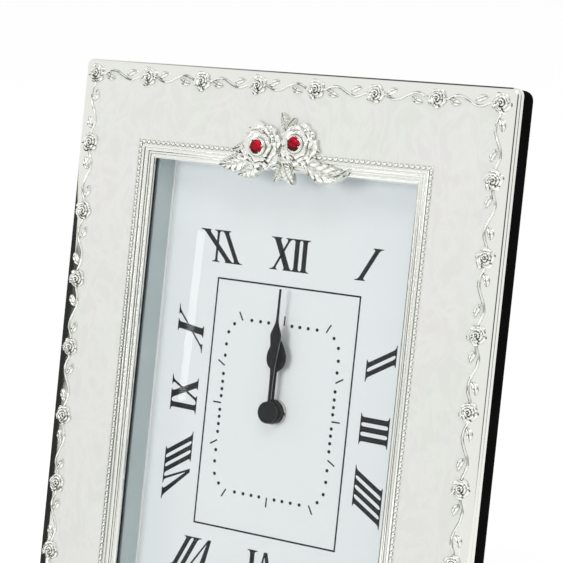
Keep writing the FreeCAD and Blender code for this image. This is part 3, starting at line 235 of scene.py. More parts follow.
# Each numeral: its side of the dial and the middle of its line, along x or z
NUMERALS = (
    ("XII", "top", -0.45), ("I", "top", 27.05), ("II", "right", 19.2), ("III", "right", -0.55),
    ("IIII", "right", -20.0), ("V", "bottom", 25.6), ("VI", "bottom", 0.6), ("VII", "bottom", -23.9),
    ("VIII", "left", -21.5), ("IX", "left", 0.7), ("X", "left", 21.1), ("XI", "top", -25.35),
)
# How far the rows of numerals are from the middle, and how far the side rows are shifted to the right
NUMERAL_Z = 47.3
NUMERAL_X = 34.1
NUMERAL_SHIFT = 0.4
# The line round the dial's middle, the minute track in it, and the reach of its ticks over the track
PANEL_HALF = (25.3, 37.65)
TRACK_HALF = (20.0, 26.2)
TRACK_CORNER = 6.8
TICK_ENDS = (-0.2, 2.7)
TICK_WIDTH = 0.46
DOT_SIDES = 14
# Liner: half its opening, and the width, height and colour of the white edge at its foot
LINER_HALF = (45.6, 72.3)
LINER_EDGE = 0.6
LINER_EDGE_HEIGHT = 0.4
LINER_WHITE = (0.97, 0.98, 0.985)
# Its front edge, behind the lip, gets a painted shadow: how far past the opening the painted shadow starts
# and is full, and at which depths it is full and ends
LINER_SHADOW_REACH = (0.1, 1.1)
LINER_SHADOW_DEPTHS = (4.0, 4.5)

# Stage, in metres; the camera and what STAND places are in upright millimetres
LIGHT_TARGET = (0, 0, 0.1)
LIGHT_SIZE = 0.5
KEY_PLACE = (-0.2, -1.2, 0.42)
KEY_WATTS = 6.0
FILL_PLACE = (0.5, -0.7, 1.1)
FILL_WATTS = 2.0
FLOOR_HALF = 3
# How bright the room looks to the rays that see it, and to the ones that only light the clock
ROOM_SEEN = 1.0
ROOM_LIGHT = 0.5
FLOOR_GLOW = 0.55
WHITE = (1, 1, 1, 1)
DARK_ROOM = (0.06, 0.06, 0.065, 1)
# Dark parts of the room that only mirrors show: direction seen from the clock, inner and outer angle
DARK_PATCHES = (((0.80, -0.56, 0.17), 10, 20), ((0.9, 0.3, 0.2), 6, 16), ((-0.40, -0.12, 0.86), 8, 18))
# Flat things that only mirrors show: a dark card at the left and one in front, and the edge of a soft
# box. Each has a colour, the matrix that places it and its corners
MIRRORED = (
    ("dark_card", (0.035, 0.037, 0.035, 1), Matrix(),
     ((-0.20, -0.165, 0.0), (-0.20, 0.03, 0.0), (-0.20, 0.03, 0.165), (-0.20, -0.165, 0.165))),
    ("front_card", (0, 0, 0, 1), STAND,
     ((-352.3, -417.2, 35.2), (-325.4, -424.0, 38.1), (-317.8, -416.8, -153.5), (-349.8, -408.6, -158.8))),
    ("soft_box_edge", (11, 11, 11, 1), STAND,
     ((-314.6, -407.5, 36.9), (-310.1, -408.6, 37.4), (-310.2, -405.8, -54.8), (-314.4, -404.8, -55.4))),
)
# Camera: place in upright millimetres, turn in degrees, lens and sensor in millimetres
CAMERA_PLACE = (332.19, -512.78, 69.59)
CAMERA_TURN = (78.2275, -0.0046, 33.2888)
CAMERA_LENS = 133.06
CAMERA_SENSOR = 36.0
CAMERA_CLIP = 0.01


# Shapes

class Shape:
    """Points in upright millimetres and the faces between them."""

    def __init__(self):
        self.points = []
        self.faces = []

    def add(self, points):
        first = len(self.points)
        self.points.extend(points)
        return list(range(first, len(self.points)))

    def strip(self, rows, closed=False):
        """Joins rows of equally many points with four-sided faces."""
        for low, high in zip(rows, rows[1:]):
            count = len(low)
            for index in range(count if closed else count - 1):
                after = (index + 1) % count
                self.faces.append((low[index], low[after], high[after], high[index]))

    def cap(self, row):
        self.faces.append(tuple(row))

    def tube(self, rows):
        """Joins closed rows and caps the first and the last."""
        self.strip(rows, closed=True)
        self.cap(rows[0])
        self.cap(rows[-1])


def relief(shape, grid, base):
    """A closed carving: a grid of points on top, a wall round its edge and a flat bottom."""
    rows = [shape.add(row) for row in grid]
    shape.strip(rows)
    ends = [row[-1] for row in rows[1:]]
    starts = [row[0] for row in rows[-2:0:-1]]
    edge = rows[0] + ends + rows[-1][-2::-1] + starts
    bottom = shape.add([(shape.points[index][0], base, shape.points[index][2]) for index in edge])
    shape.strip([edge, bottom], closed=True)
    shape.cap(bottom)


def rectangle(half_x, half_z):
    """The corners of a rectangle round the middle."""
    return [(half_x, half_z), (-half_x, half_z), (-half_x, -half_z), (half_x, -half_z)]


def on_circle(middle, radius, turn):
    """The point at a turn on a circle."""
    return middle[0] + radius * math.cos(turn), middle[1] + radius * math.sin(turn)


def plate(shape, loops, front, back):
    """A flat sheet with an outline, any holes after it, and straight edges."""
    flat = [[Vector((x, z, 0)) for x, z in loop] for loop in loops]
    corners = [corner for loop in loops for corner in loop]
    near = shape.add([(x, front, z) for x, z in corners])
    far = shape.add([(x, back, z) for x, z in corners])
    for face in tessellate_polygon(flat):
        shape.faces.append(tuple(near[index] for index in face))
        shape.faces.append(tuple(far[index] for index in reversed(face)))
    first = 0
    for loop in loops:
        after = first + len(loop)
        shape.strip([near[first:after], far[first:after]], closed=True)
        first = after


def sweep(shape, path, widths, heights, base, sides=6):
    """A half-round bar that lies along a path on the face of the frame."""
    rows = []
    for index, (x, z) in enumerate(path):
        before = path[max(index - 1, 0)]
        after = path[min(index + 1, len(path) - 1)]
        run = Vector((after[0] - before[0], after[1] - before[1])).normalized()
        row = []
        for side in range(sides + 1):
            turn = math.pi * side / sides
            off = widths[index] / 2 * math.cos(turn)
            row.append((x - run.y * off, base - heights[index] * math.sin(turn), z + run.x * off))
        rows.append(shape.add(row))
    shape.tube(rows)


def ring(middle, half_x, half_z, depth, count, first=0.0):
    """Points of a level circle or oval, from the first turn on."""
    turns = [first + 2 * math.pi * index / count for index in range(count)]
    return [(middle[0] + half_x * math.cos(turn), depth, middle[1] + half_z * math.sin(turn))
            for turn in turns]


def turned(shape, profile, middle, sides=48):
    """A body turned about a line from front to back: (radius, depth) points from front to back."""
    shape.tube([shape.add(ring(middle, radius, radius, depth, sides)) for radius, depth in profile])


def smooth_line(points, parts):
    """Points on a smooth curve through the given points."""
    ends = [points[0]] + list(points) + [points[-1]]
    line = []
    for a, b, c, d in zip(ends, ends[1:], ends[2:], ends[3:]):
        for part in range(parts):
            t = part / parts
            weights = (-t + 2 * t * t - t ** 3, 2 - 5 * t * t + 3 * t ** 3, t + 4 * t * t - 3 * t ** 3,
                       t ** 3 - t * t)
            line.append(tuple(sum(w * p[axis] for w, p in zip(weights, (a, b, c, d))) / 2
                              for axis in range(len(b))))
    line.append(tuple(points[-1]))
    return line


def bowed(profile, parts=6):
    """A moulding's section, with the lines that bow out divided into short ones."""
    points = [profile[0][:2]]
    for start, end in zip(profile, profile[1:]):
        bow = end[2] if len(end) > 2 else 0
        run = end[0] - start[0]
        drop = end[1] - start[1]
        length = math.hypot(run, drop)
        count = parts if bow else 1
        for part in range(1, count + 1):
            share = part / count
            swell = 4 * bow * share * (1 - share) / length
            points.append((start[0] + run * share + swell * drop, start[1] + drop * share - swell * run))
    return points


def frame_row(inset, depth, radius, steps=6):
    """One level line round the frame, with rounded corners."""
    row = []
    for side_x, side_z, start in ((1, 1, 0), (-1, 1, 90), (-1, -1, 180), (1, -1, 270)):
        for step in range(steps + 1):
            turn = math.radians(start + 90 * step / steps)
            row.append((side_x * (HALF_WIDTH - inset - radius) + radius * math.cos(turn), depth,
                        side_z * (HALF_HEIGHT - inset - radius) + radius * math.sin(turn)))
    return row


def new_object(name, data):
    item = bpy.data.objects.new(name, data)
    bpy.context.scene.collection.objects.link(item)
    return item


def make_piece(name, shape, finish, body, replaces=(), crease=CREASE, weld=0.0):
    """Makes the shape an object, stands it up, parents it to its body's empty and hides the parts that it
    replaces.
    """
    mesh = bpy.data.meshes.new(name)
    mesh.from_pydata(shape.points, [], shape.faces)
    work = bmesh.new()
    work.from_mesh(mesh)
    if weld:
        bmesh.ops.remove_doubles(work, verts=work.verts, dist=weld)
    bmesh.ops.recalc_face_normals(work, faces=work.faces)
    work.to_mesh(mesh)
    work.free()
    mesh.transform(STAND)
    mesh.shade_smooth()
    mesh.set_sharp_from_angle(angle=math.radians(crease))
    mesh.materials.append(finish)
    piece = new_object(name, mesh)
    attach(piece, body)
    if replaces:
        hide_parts(*replaces)


# Petals, leaves and the vine

def petal(shape, middle, heading, spread, inner, outer, foot, lip, kind):
    """One cupped petal of a rose, from its foot near the middle to its rolled lip."""
    # v goes from foot to lip, and u across, from -1 to 1
    grid = []
    for step in range(kind["along"] + 1):
        v = step / kind["along"]
        row = []
        for place in range(kind["across"] + 1):
            u = 2 * place / kind["across"] - 1
            narrow = 0.22 * abs(u) ** 3
            notch = kind["notch"] * math.exp(-(u * 5) ** 2)
            wave = kind["ruffle"] * v * math.sin(8.5 * u + 3 * heading)
            twist = u * v
            reach = (inner + (outer - inner) * v * (1 - narrow - notch)) * (1 + 0.14 * twist + wave)
            turn = heading + spread * u * (0.7 + 0.3 * v)
            cup = math.sin(min(v * 1.3, 1.0) * math.pi / 2) ** 1.6
            roll = 2.2 * max(v - 0.8, 0) ** 1.2
            rise = (cup - roll) * (1 - 0.2 * u * u) + 0.38 * twist + 2.5 * wave
            x, z = on_circle(middle, reach, turn)
            row.append((x, -foot - (lip - foot) * rise, z))
        grid.append(row)
    relief(shape, grid, kind["base"])


def rose(shape, middle, first, chance, kind, radius=1.0):
    """The petals of a rose, tier by tier, each of a little different reach and rise."""
    for tier, (count, inner, outer, foot, lip) in enumerate(kind["tiers"]):
        for index in range(count):
            heading = first + tier * kind["turn"] + 2 * math.pi * index / count
            reach = outer * radius * chance.uniform(kind["reach"], 1.0)
            rise = lip * chance.uniform(kind["rise"], 1.0)
            spread = math.pi / count * kind["width"]
            petal(shape, middle, heading, spread, inner * radius, reach, foot, rise, kind)


def dome(shape, middle, half_x, half_z, base, top, sides=8, levels=3, fullness=1.0):
    """A round or oval knob with a closed foot and a small flat top."""
    rows = []
    for level in range(levels):
        turn = math.pi / 2 * level / levels
        share = math.cos(turn) ** fullness
        depth = base + (top - base) * math.sin(turn)
        rows.append(shape.add(ring(middle, half_x * share, half_z * share, depth, sides)))
    shape.tube(rows)


def leaf(shape, foot, tip, width, bend, kind):
    """A leaf with a midrib, side veins and, where wanted, a toothed edge."""
    run = Vector((tip[0] - foot[0], tip[1] - foot[1]))
    side = Vector((-run.y, run.x)).normalized()
    # t goes from foot to tip, and u across, from -1 to 1
    belly = 0.42
    grid = []
    for step in range(kind["along"] + 1):
        t = step / kind["along"]
        if t < belly:
            spread = math.sin(math.pi / 2 * t / belly) ** 0.55
        else:
            spread = math.cos(math.pi / 2 * (t - belly) / (1 - belly)) ** 0.62
        spread = max(spread, 0.06)
        if kind["teeth"]:
            spread *= 1 - 0.16 * ((t * kind["teeth"]) % 1.0)
        curve = bend * math.sin(math.pi * t)
        row = []
        for place in range(kind["across"] + 1):
            u = 2 * place / kind["across"] - 1
            off = width / 2 * spread * u + curve
            rise = 0.35 + 0.65 * math.sin(math.pi * (0.12 + 0.76 * t))
            body = (1 - abs(u) ** 2.5) ** 0.5 * 0.7 + 0.2
            groove = 0.34 * math.exp(-(u * 6) ** 2)
            vein = 0.13 * math.cos(2 * math.pi * (kind["veins"] * t - 1.3 * abs(u)))
            vein *= min(abs(u) * 3, 1) * (1 - abs(u) ** 3)
            level = kind["height"] * rise * (body - groove + vein)
            row.append((foot[0] + run.x * t + side.x * off, -level, foot[1] + run.y * t + side.y * off))
        grid.append(row)
    relief(shape, grid, kind["base"])


def rose_places():
    """The middles of the small roses, in order round the frame from the top left corner."""
    half_x = HALF_WIDTH - ROSE_INSET
    half_z = HALF_HEIGHT - ROSE_INSET
    places = []
    for index in range(ROSES_ACROSS - 1):
        places.append((-half_x + 2 * half_x * index / (ROSES_ACROSS - 1), half_z))
    for index in range(ROSES_UP - 1):
        places.append((half_x, half_z - 2 * half_z * index / (ROSES_UP - 1)))
    return places + [(-x, -z) for x, z in places]


def vine_runs(swing, steps=16):
    """Between each two roses, the points of the stem's line and the side to which it swings first."""
    places = rose_places()
    runs = []
    for index, start in enumerate(places):
        end = places[(index + 1) % len(places)]
        run = Vector((end[0] - start[0], end[1] - start[1]))
        length = run.length
        run.normalize()
        side = 1 if index % 2 == 0 else -1
        points = []
        for step in range(steps + 1):
            along = length * step / steps
            share = min(max((along - STEM_START) / (length - 2 * STEM_START), 0), 1)
            off = side * swing * math.sin(2 * math.pi * share)
            x = start[0] + run.x * along - run.y * off
            points.append((x, start[1] + run.y * along + run.x * off))
        runs.append((points, side))
    return runs


# Letters of the dial

def bracket(start, corner, end, parts=5):
    """A curve from start to end that bends near the corner."""
    points = []
    for part in range(parts + 1):
        t = part / parts
        points.append(tuple((1 - t) ** 2 * a + 2 * t * (1 - t) * b + t * t * c
                            for a, b, c in zip(start, corner, end)))
    return points


def serif_loop(place, width, stem, slope, head):
    """A slab at the end of a stroke, curved into it on both sides."""
    side = 1 if head else -1
    line = side * LETTER_HALF
    slab = side * (LETTER_HALF - SERIF_THICKNESS)
    neck = side * (LETTER_HALF - SERIF_REACH)
    shift = -slope * side * SERIF_REACH
    right = bracket((place + width / 2, slab), (place + stem / 2 + shift / 3, slab),
                    (place + stem / 2 + shift, neck))
    left = bracket((place - stem / 2 + shift, neck), (place - stem / 2 + shift / 3, slab),
                   (place - width / 2, slab))
    return [(place - width / 2, line), (place + width / 2, line)] + right + left


def letter_loops(letter):
    """The strokes of a letter and their serifs, with its middle at zero."""
    loops = []
    for foot, head, foot_width, head_width, foot_serif, head_serif in STROKES[letter]:
        loops.append([(foot - foot_width / 2, -LETTER_HALF), (foot + foot_width / 2, -LETTER_HALF),
                      (head + head_width / 2, LETTER_HALF), (head - head_width / 2, LETTER_HALF)])
        slope = (head - foot) / (2 * LETTER_HALF)
        if foot_serif:
            loops.append(serif_loop(foot, foot_serif, foot_width, slope, False))
        if head_serif:
            loops.append(serif_loop(head, head_serif, head_width, slope, True))
    return loops


def numeral_loops(word):
    """The loops of a numeral, with the middle of its line at zero."""
    middles = []
    place = 0.0
    for before, letter in zip(" " + word, word):
        if before != " ":
            place += (LETTER_ROOMS[before] + LETTER_ROOMS[letter]) / 2
        middles.append(place)
    low = middles[0] - LETTER_WIDTHS[word[0]] / 2
    high = middles[-1] + LETTER_WIDTHS[word[-1]] / 2
    shift = (low + high) / 2
    loops = []
    for letter, middle in zip(word, middles):
        for loop in letter_loops(letter):
            loops.append([(u + middle - shift, v) for u, v in loop])
    return loops


def numeral_place(side, middle, u, v):
    """A point of a numeral on the dial: each letter leans towards the dial's centre."""
    if side == "top":
        return middle + u + v * middle / NUMERAL_Z, NUMERAL_Z + v
    if side == "bottom":
        return middle - u + v * middle / NUMERAL_Z, -NUMERAL_Z - v
    if side == "left":
        return NUMERAL_SHIFT - NUMERAL_X - v, middle + u + v * middle / NUMERAL_X
    return NUMERAL_SHIFT + NUMERAL_X + v, middle - u + v * middle / NUMERAL_X


def track_reach(turn):
    """How far the minute track is from the centre in a direction."""
    x, z = abs(math.cos(turn)), abs(math.sin(turn))
    half_x, half_z = TRACK_HALF
    reach = min(half_x / max(x, 1e-9), half_z / max(z, 1e-9))
    core_x = half_x - TRACK_CORNER
    core_z = half_z - TRACK_CORNER
    if reach * x > core_x and reach * z > core_z:
        along = x * core_x + z * core_z
        reach = along + math.sqrt(along ** 2 - core_x ** 2 - core_z ** 2 + TRACK_CORNER ** 2)
    return reach


def bar(shape, start, end, width, front, back):
    """A flat straight stroke from start to end."""
    run = Vector((end[0] - start[0], end[1] - start[1])).normalized() * width / 2
    plate(shape, [[(start[0] - run.y, start[1] + run.x), (start[0] + run.y, start[1] - run.x),
                   (end[0] + run.y, end[1] - run.x), (end[0] - run.y, end[1] + run.x)]], front, back)


# Shader nodes

def rgba(colour):
    return (colour[0], colour[1], colour[2], 1.0)


def add(tree, kind, inputs=None, **settings):
    """Adds one node, with its settings, and links or sets its inputs."""
    item = tree.nodes.new("ShaderNode" + kind)
    for name, value in settings.items():
        setattr(item, name, value)
    for key, value in (inputs or {}).items():
        if isinstance(value, bpy.types.NodeSocket):
            tree.links.new(value, item.inputs[key])
        else:
            item.inputs[key].default_value = value
    return item


def calc(tree, operation, first, second=0.0):
    return add(tree, "Math", {0: first, 1: second}, operation=operation).outputs[0]


def mixed(tree, share, first, second):
    return add(tree, "Mix", {0: share, 6: first, 7: second}, data_type="RGBA").outputs[2]


def ramp(tree, value, low, high, to_low=0.0, to_high=1.0):
    """Takes values between low and high to values between two others."""
    return add(tree, "MapRange", {0: value, 1: low, 2: high, 3: to_low, 4: to_high}).outputs[0]


def upright(tree, stretch=(1.0, 1.0, 1.0)):
    """Coordinates in upright millimetres, which stay with the piece when it moves."""
    turn = Matrix.Rotation(LEAN, 4, "X")
    shift = turn @ STAND.to_translation() * -MM
    place = add(tree, "TexCoord").outputs["Object"]
    inputs = {"Vector": place, "Location": shift, "Rotation": (LEAN, 0, 0), "Scale": (MM, MM, MM)}
    place = add(tree, "Mapping", inputs).outputs[0]
    return add(tree, "VectorMath", {0: place, 1: stretch}, operation="MULTIPLY").outputs[0]


def towards(tree, output, way):
    """How far an output of the Texture Coordinate node points the given way."""
    source = add(tree, "TexCoord").outputs[output]
    return add(tree, "VectorMath", {0: source, 1: way}, operation="DOT_PRODUCT").outputs["Value"]


def noise(tree, place, size, detail, rough, twist=0.0):
    """Noise of the given size in millimetres, which may be a socket."""
    scale = calc(tree, "DIVIDE", 1.0, size) if isinstance(size, bpy.types.NodeSocket) else 1 / size
    inputs = {"Vector": place, "Scale": scale, "Detail": detail, "Roughness": rough, "Distortion": twist}
    return add(tree, "TexNoise", inputs).outputs[0]


def bump(tree, height, strength, distance, before=None):
    """A normal from heights of up to a distance in millimetres, on top of the one before."""
    inputs = {"Height": height, "Strength": strength, "Distance": distance / MM}
    if before:
        inputs["Normal"] = before
    return add(tree, "Bump", inputs).outputs[0]


def bare_tree(owner):
    """The emptied node tree of a material or a world."""
    owner.use_nodes = True
    owner.node_tree.nodes.clear()
    return owner.node_tree


def shade_clouds_grain():
    """Effects that the finishes share: a crevice mask from ambient occlusion for painted shade, slow
    clouds and fine grain.
    """
    group = bpy.data.node_groups.get("shade_clouds_grain")
    if group:
        return group
    group = bpy.data.node_groups.new("shade_clouds_grain", "ShaderNodeTree")
    for name, default in (("Reach", 0.0015), ("Cloud size", 12.0), ("Grain size", 0.3)):
        socket = group.interface.new_socket(name=name, in_out="INPUT", socket_type="NodeSocketFloat")
        socket.default_value = default
    for name in ("Crevice", "Cloud", "Grain"):
        group.interface.new_socket(name=name, in_out="OUTPUT", socket_type="NodeSocketFloat")
    source = group.nodes.new("NodeGroupInput").outputs
    place = upright(group)
    shade = add(group, "AmbientOcclusion", {"Distance": source["Reach"]}, samples=8)
    results = {
        # Crevice mask: high where ambient occlusion is low, used for painted shade
        "Crevice": ramp(group, shade.outputs["AO"], 0.9, 0.3),
        "Cloud": noise(group, place, source["Cloud size"], detail=3.0, rough=0.5, twist=0.6),
        "Grain": noise(group, place, source["Grain size"], detail=2.0, rough=0.6),
    }
    end = group.nodes.new("NodeGroupOutput")
    for name, result in results.items():
        group.links.new(result, end.inputs[name])
    return group


def shade_of(colour, share):
    return rgba([channel * share for channel in colour])


class Finish:
    """A material with one Principled shader and the shared surface effects. Sizes are in millimetres."""

    def __init__(self, name, reach, cloud, grain):
        self.material = bpy.data.materials.new(name)
        self.tree = bare_tree(self.material)
        self.shader = add(self.tree, "BsdfPrincipled")
        self.output = add(self.tree, "OutputMaterial", {"Surface": self.shader.outputs[0]})
        inputs = {"Reach": reach / MM, "Cloud size": cloud, "Grain size": grain}
        life = add(self.tree, "Group", inputs, node_tree=shade_clouds_grain()).outputs
        self.crevice, self.cloud, self.grain = life["Crevice"], life["Cloud"], life["Grain"]

    def set(self, **inputs):
        for name, value in inputs.items():
            socket = self.shader.inputs[name.replace("_", " ")]
            if isinstance(value, bpy.types.NodeSocket):
                self.tree.links.new(value, socket)
            else:
                socket.default_value = value

    def drift(self, colour, low, high):
        """The colour, between two shares of itself as the clouds go."""
        return mixed(self.tree, self.cloud, shade_of(colour, low), shade_of(colour, high))

    def shaded_in_crevices(self, tone, share, crevice_shade_colour):
        """The tone, with this share of painted shade in the crevices that the ambient occlusion mask
        finds.
        """
        return mixed(self.tree, calc(self.tree, "MULTIPLY", self.crevice, share), tone, crevice_shade_colour)

    def varied(self, mask, low, high):
        """A value from low to high, as the clouds or the grain go."""
        return ramp(self.tree, mask, 0.3, 0.7, low, high)


def plain_finish(name, colour, metallic, rough, grain, grain_depth, gloss=0.5):
    """Metal, plastic or rubber: a colour that drifts, painted shade in crevices, varied gloss and a fine
    grain.
    """
    finish = Finish(name, reach=1.2, cloud=12.0, grain=grain)
    # painted shade in crevices, from the ambient occlusion mask
    tone = finish.shaded_in_crevices(finish.drift(colour, 0.9, 1.1), 0.5, shade_of(colour, 0.25))
    finish.set(Base_Color=tone, Metallic=metallic, Specular_IOR_Level=gloss,
               Roughness=finish.varied(finish.cloud, rough * 0.85, rough * 1.2),
               Normal=bump(finish.tree, finish.grain, strength=0.6, distance=grain_depth))
    return finish.material


def hand_finish(colour):
    """Black lacquer on the faces of a blanked hand, whose cut sides beyond its boss are bare metal that
    also serves as a painted edge highlight.
    """
    finish = Finish("black lacquer", reach=1.2, cloud=12.0, grain=0.15)
    tree = finish.tree
    facing = calc(tree, "ABSOLUTE", towards(tree, "Normal", HAND_FRONT))
    place = add(tree, "SeparateXYZ", {0: upright(tree)}).outputs
    squares = [calc(tree, "POWER", place[axis], 2.0) for axis in ("X", "Z")]
    beyond = calc(tree, "GREATER_THAN", calc(tree, "ADD", *squares), BARE_HIGHLIGHT_BEYOND ** 2)
    # cut sides beyond the boss: bare metal, also a painted edge highlight
    side = calc(tree, "MULTIPLY", ramp(tree, facing, 0.2, 0.5, 1.0, 0.0), beyond)
    tone = mixed(tree, side, finish.drift(colour, 0.9, 1.1), rgba(BARE_METAL_HIGHLIGHT))
    finish.set(Base_Color=tone, Specular_IOR_Level=0.15, Roughness=finish.varied(finish.cloud, 0.32, 0.46),
               Normal=bump(tree, finish.grain, strength=0.6, distance=0.01))
    return finish.material


def silver_finish(name, colour, shade):
    """Polished silver, with painted shade in its crevices down to the given share of its colour."""
    finish = Finish(name, reach=0.35, cloud=9.0, grain=0.25)
    tree = finish.tree
    # painted shade in crevices, from the ambient occlusion mask
    tone = mixed(tree, finish.crevice, finish.drift(colour, 0.985, 1.0), shade_of(colour, shade))
    swell = noise(tree, upright(tree), 7.0, detail=1.0, rough=0.4)
    waves = bump(tree, swell, strength=0.25, distance=0.10)
    finish.set(Base_Color=tone, Metallic=1.0, Roughness=finish.varied(finish.cloud, 0.07, 0.12),
               Normal=bump(tree, finish.grain, strength=0.1, distance=0.003, before=waves))
    return finish.material


def silver_piece(name, shape, replaces=(), crease=CREASE):
    """Makes a silver-plated piece of the frame. The first one makes the finish that they share."""
    colour = bpy.context.scene.clock_colours.silver
    # the carving's silver plate: painted crevice shade down to half its colour
    plate_finish = bpy.data.materials.get("silver plate") or silver_finish("silver plate", colour, 0.5)
    make_piece(name, shape, plate_finish, "root", replaces, crease)


def enamel_finish(colour):
    """Pearl enamel: brushed swirls of lighter and darker pearl under a clear coat, with painted shade in
    its crevices.
    """
    finish = Finish("pearl enamel", reach=1.2, cloud=16.0, grain=0.12)
    tree = finish.tree
    place = upright(tree, (1.0, 1.0, 0.62))
    swirl = noise(tree, place, 11.0, detail=5.0, rough=0.58, twist=2.2)
    ridge = calc(tree, "ABSOLUTE", calc(tree, "SUBTRACT", swirl, 0.5))
    sheen = ramp(tree, ridge, 0.0, 0.10, 1.0, 0.0)
    tints = noise(tree, place, 20.0, detail=2.0, rough=0.5, twist=1.0)
    ground = [rgba([a * b for a, b in zip(colour, shares)]) for shares in ENAMEL_TINTS]
    ground = mixed(tree, ramp(tree, tints, 0.38, 0.62), *ground)
    pearl = rgba([min(channel * PEARL_SHARE, PEARL_LIMIT) for channel in colour])
    tone = mixed(tree, calc(tree, "MULTIPLY", sheen, 0.6), ground, pearl)
    # painted shade in the enamel's crevices, from the ambient occlusion mask
    finish.set(Base_Color=finish.shaded_in_crevices(tone, 0.35, shade_of(colour, 0.45)), Coat_Weight=0.7,
               Roughness=ramp(tree, sheen, 0.0, 1.0, 0.42, 0.28), Coat_Roughness=0.06,
               Normal=bump(tree, swirl, strength=0.12, distance=0.15))
    return finish.material


def stone_finish(colour):
    """Red stone, with painted highlights on some of the facets that face the light and painted shade on
    the rest.
    """
    finish = Finish("red stone", reach=0.8, cloud=1.2, grain=0.2)
    tree = finish.tree
    cells = add(tree, "TexVoronoi", {"Vector": upright(tree), "Scale": 0.9}).outputs["Color"]
    cells = add(tree, "SeparateColor", {0: cells}).outputs[0]
    facing = towards(tree, "Normal", STONE_PAINTED_LIGHT)
    lights = calc(tree, "MULTIPLY", ramp(tree, facing, 0.35, 0.72), ramp(tree, cells, 0.2, 0.8, 0.3, 1.0))
    # painted highlights on facets that face the set light way, painted shade on the rest, varied by random
    # cells
    finish.set(Base_Color=mixed(tree, lights, shade_of(colour, 0.12), shade_of(colour, 1.7)),
               Roughness=ramp(tree, lights, 0.0, 1.0, 0.05, 0.12), Specular_IOR_Level=0.15)
    return finish.material


def glass_finish():
    """Clear glass that lets shadow and diffuse rays through."""
    finish = Finish("clear glass", reach=0.5, cloud=40.0, grain=4.0)
    tree = finish.tree
    tone = mixed(tree, finish.cloud, *[rgba(tint) for tint in GLASS_TINTS])
    finish.set(Base_Color=tone, Transmission_Weight=1.0, IOR=1.22, Roughness=0.0)
    rays = add(tree, "LightPath").outputs
    passes = calc(tree, "MAXIMUM", rays["Is Shadow Ray"], rays["Is Diffuse Ray"])
    clear = add(tree, "BsdfTransparent")
    both = add(tree, "MixShader", {0: passes, 1: finish.shader.outputs[0], 2: clear.outputs[0]})
    tree.links.new(both.outputs[0], finish.output.inputs["Surface"])
    return finish.material


def flock_finish(name, colour, nap):
    """Black velvet paper: deep black, a short nap and hardly any gloss."""
    finish = Finish(name, reach=2.0, cloud=18.0, grain=0.18)
    tree = finish.tree
    tone = mixed(tree, finish.grain, shade_of(colour, 0.6), shade_of(colour, 1.6))
    tone = mixed(tree, calc(tree, "MULTIPLY", finish.cloud, 0.3), tone, shade_of(colour, 2.0))
    finish.set(Base_Color=tone, Roughness=finish.varied(finish.cloud, 0.85, 0.98),
               Specular_IOR_Level=0.03, Normal=bump(tree, finish.grain, strength=0.7, distance=nap))
    return finish.material


def set_matt(finish, tone, rough):
    """Gives a finish its tone and a matt surface with paper grain."""
    finish.set(Base_Color=tone, Roughness=finish.varied(finish.grain, rough - 0.05, rough + 0.05),
               Normal=bump(finish.tree, finish.grain, strength=0.15, distance=0.02))


def card_finish(name, colour, shade):
    """Printed card, with the given share of shade in its corners."""
    finish = Finish(name, reach=4.0, cloud=30.0, grain=0.22)
    set_matt(finish, finish.shaded_in_crevices(finish.drift(colour, 0.985, 1.01), shade, shade_of(colour, 0.5)), 0.6)
    return finish.material


def liner_finish(colour):
    """Liner board whose front edge, behind the lip, has a painted shadow."""
    finish = Finish("liner board", reach=4.0, cloud=30.0, grain=0.22)
    tree = finish.tree
    place = add(tree, "SeparateXYZ", {0: upright(tree)}).outputs
    past = [calc(tree, "SUBTRACT", calc(tree, "ABSOLUTE", place[axis]), half)
            for axis, half in zip(("X", "Z"), LINER_HALF)]
    # painted shadow of the lip on the liner's front edge
    dark = ramp(tree, calc(tree, "MAXIMUM", *past), *LINER_SHADOW_REACH)
    dark = calc(tree, "MULTIPLY", dark, ramp(tree, place["Y"], *LINER_SHADOW_DEPTHS, 1.0, 0.0))
    set_matt(finish, mixed(tree, dark, finish.drift(colour, 0.985, 1.01), shade_of(colour, 0.09)), 0.55)
    return finish.material


def winding_finish(colour):
    """Enamelled copper wire, wound turn beside turn, with painted light on each turn and painted shade
    between turns.
    """
    finish = Finish("copper winding", reach=0.8, cloud=4.0, grain=0.2)
    tree = finish.tree
    turns = add(tree, "TexWave", {"Vector": upright(tree), "Scale": 1.1, "Distortion": 0.3},
                bands_direction="X").outputs["Fac"]
    # each turn lighter at its crest and darker between turns: painted light and shade
    tone = mixed(tree, turns, shade_of(colour, 0.5), shade_of(colour, 1.15))
    finish.set(Base_Color=tone, Metallic=0.9, Roughness=ramp(tree, turns, 0, 1, 0.5, 0.3),
               Normal=bump(tree, turns, strength=0.8, distance=0.06))
    return finish.material


# Sizes and colours

def colour_property(name, description, default):
    return FloatVectorProperty(name=name, description=description, default=default, subtype="COLOR",
                               min=0.0, max=1.0, size=3)


def length_property(name, description, default):
    return FloatProperty(name=name, description=description, default=default / MM, min=0.0001,
                         unit="LENGTH", subtype="DISTANCE", precision=5)


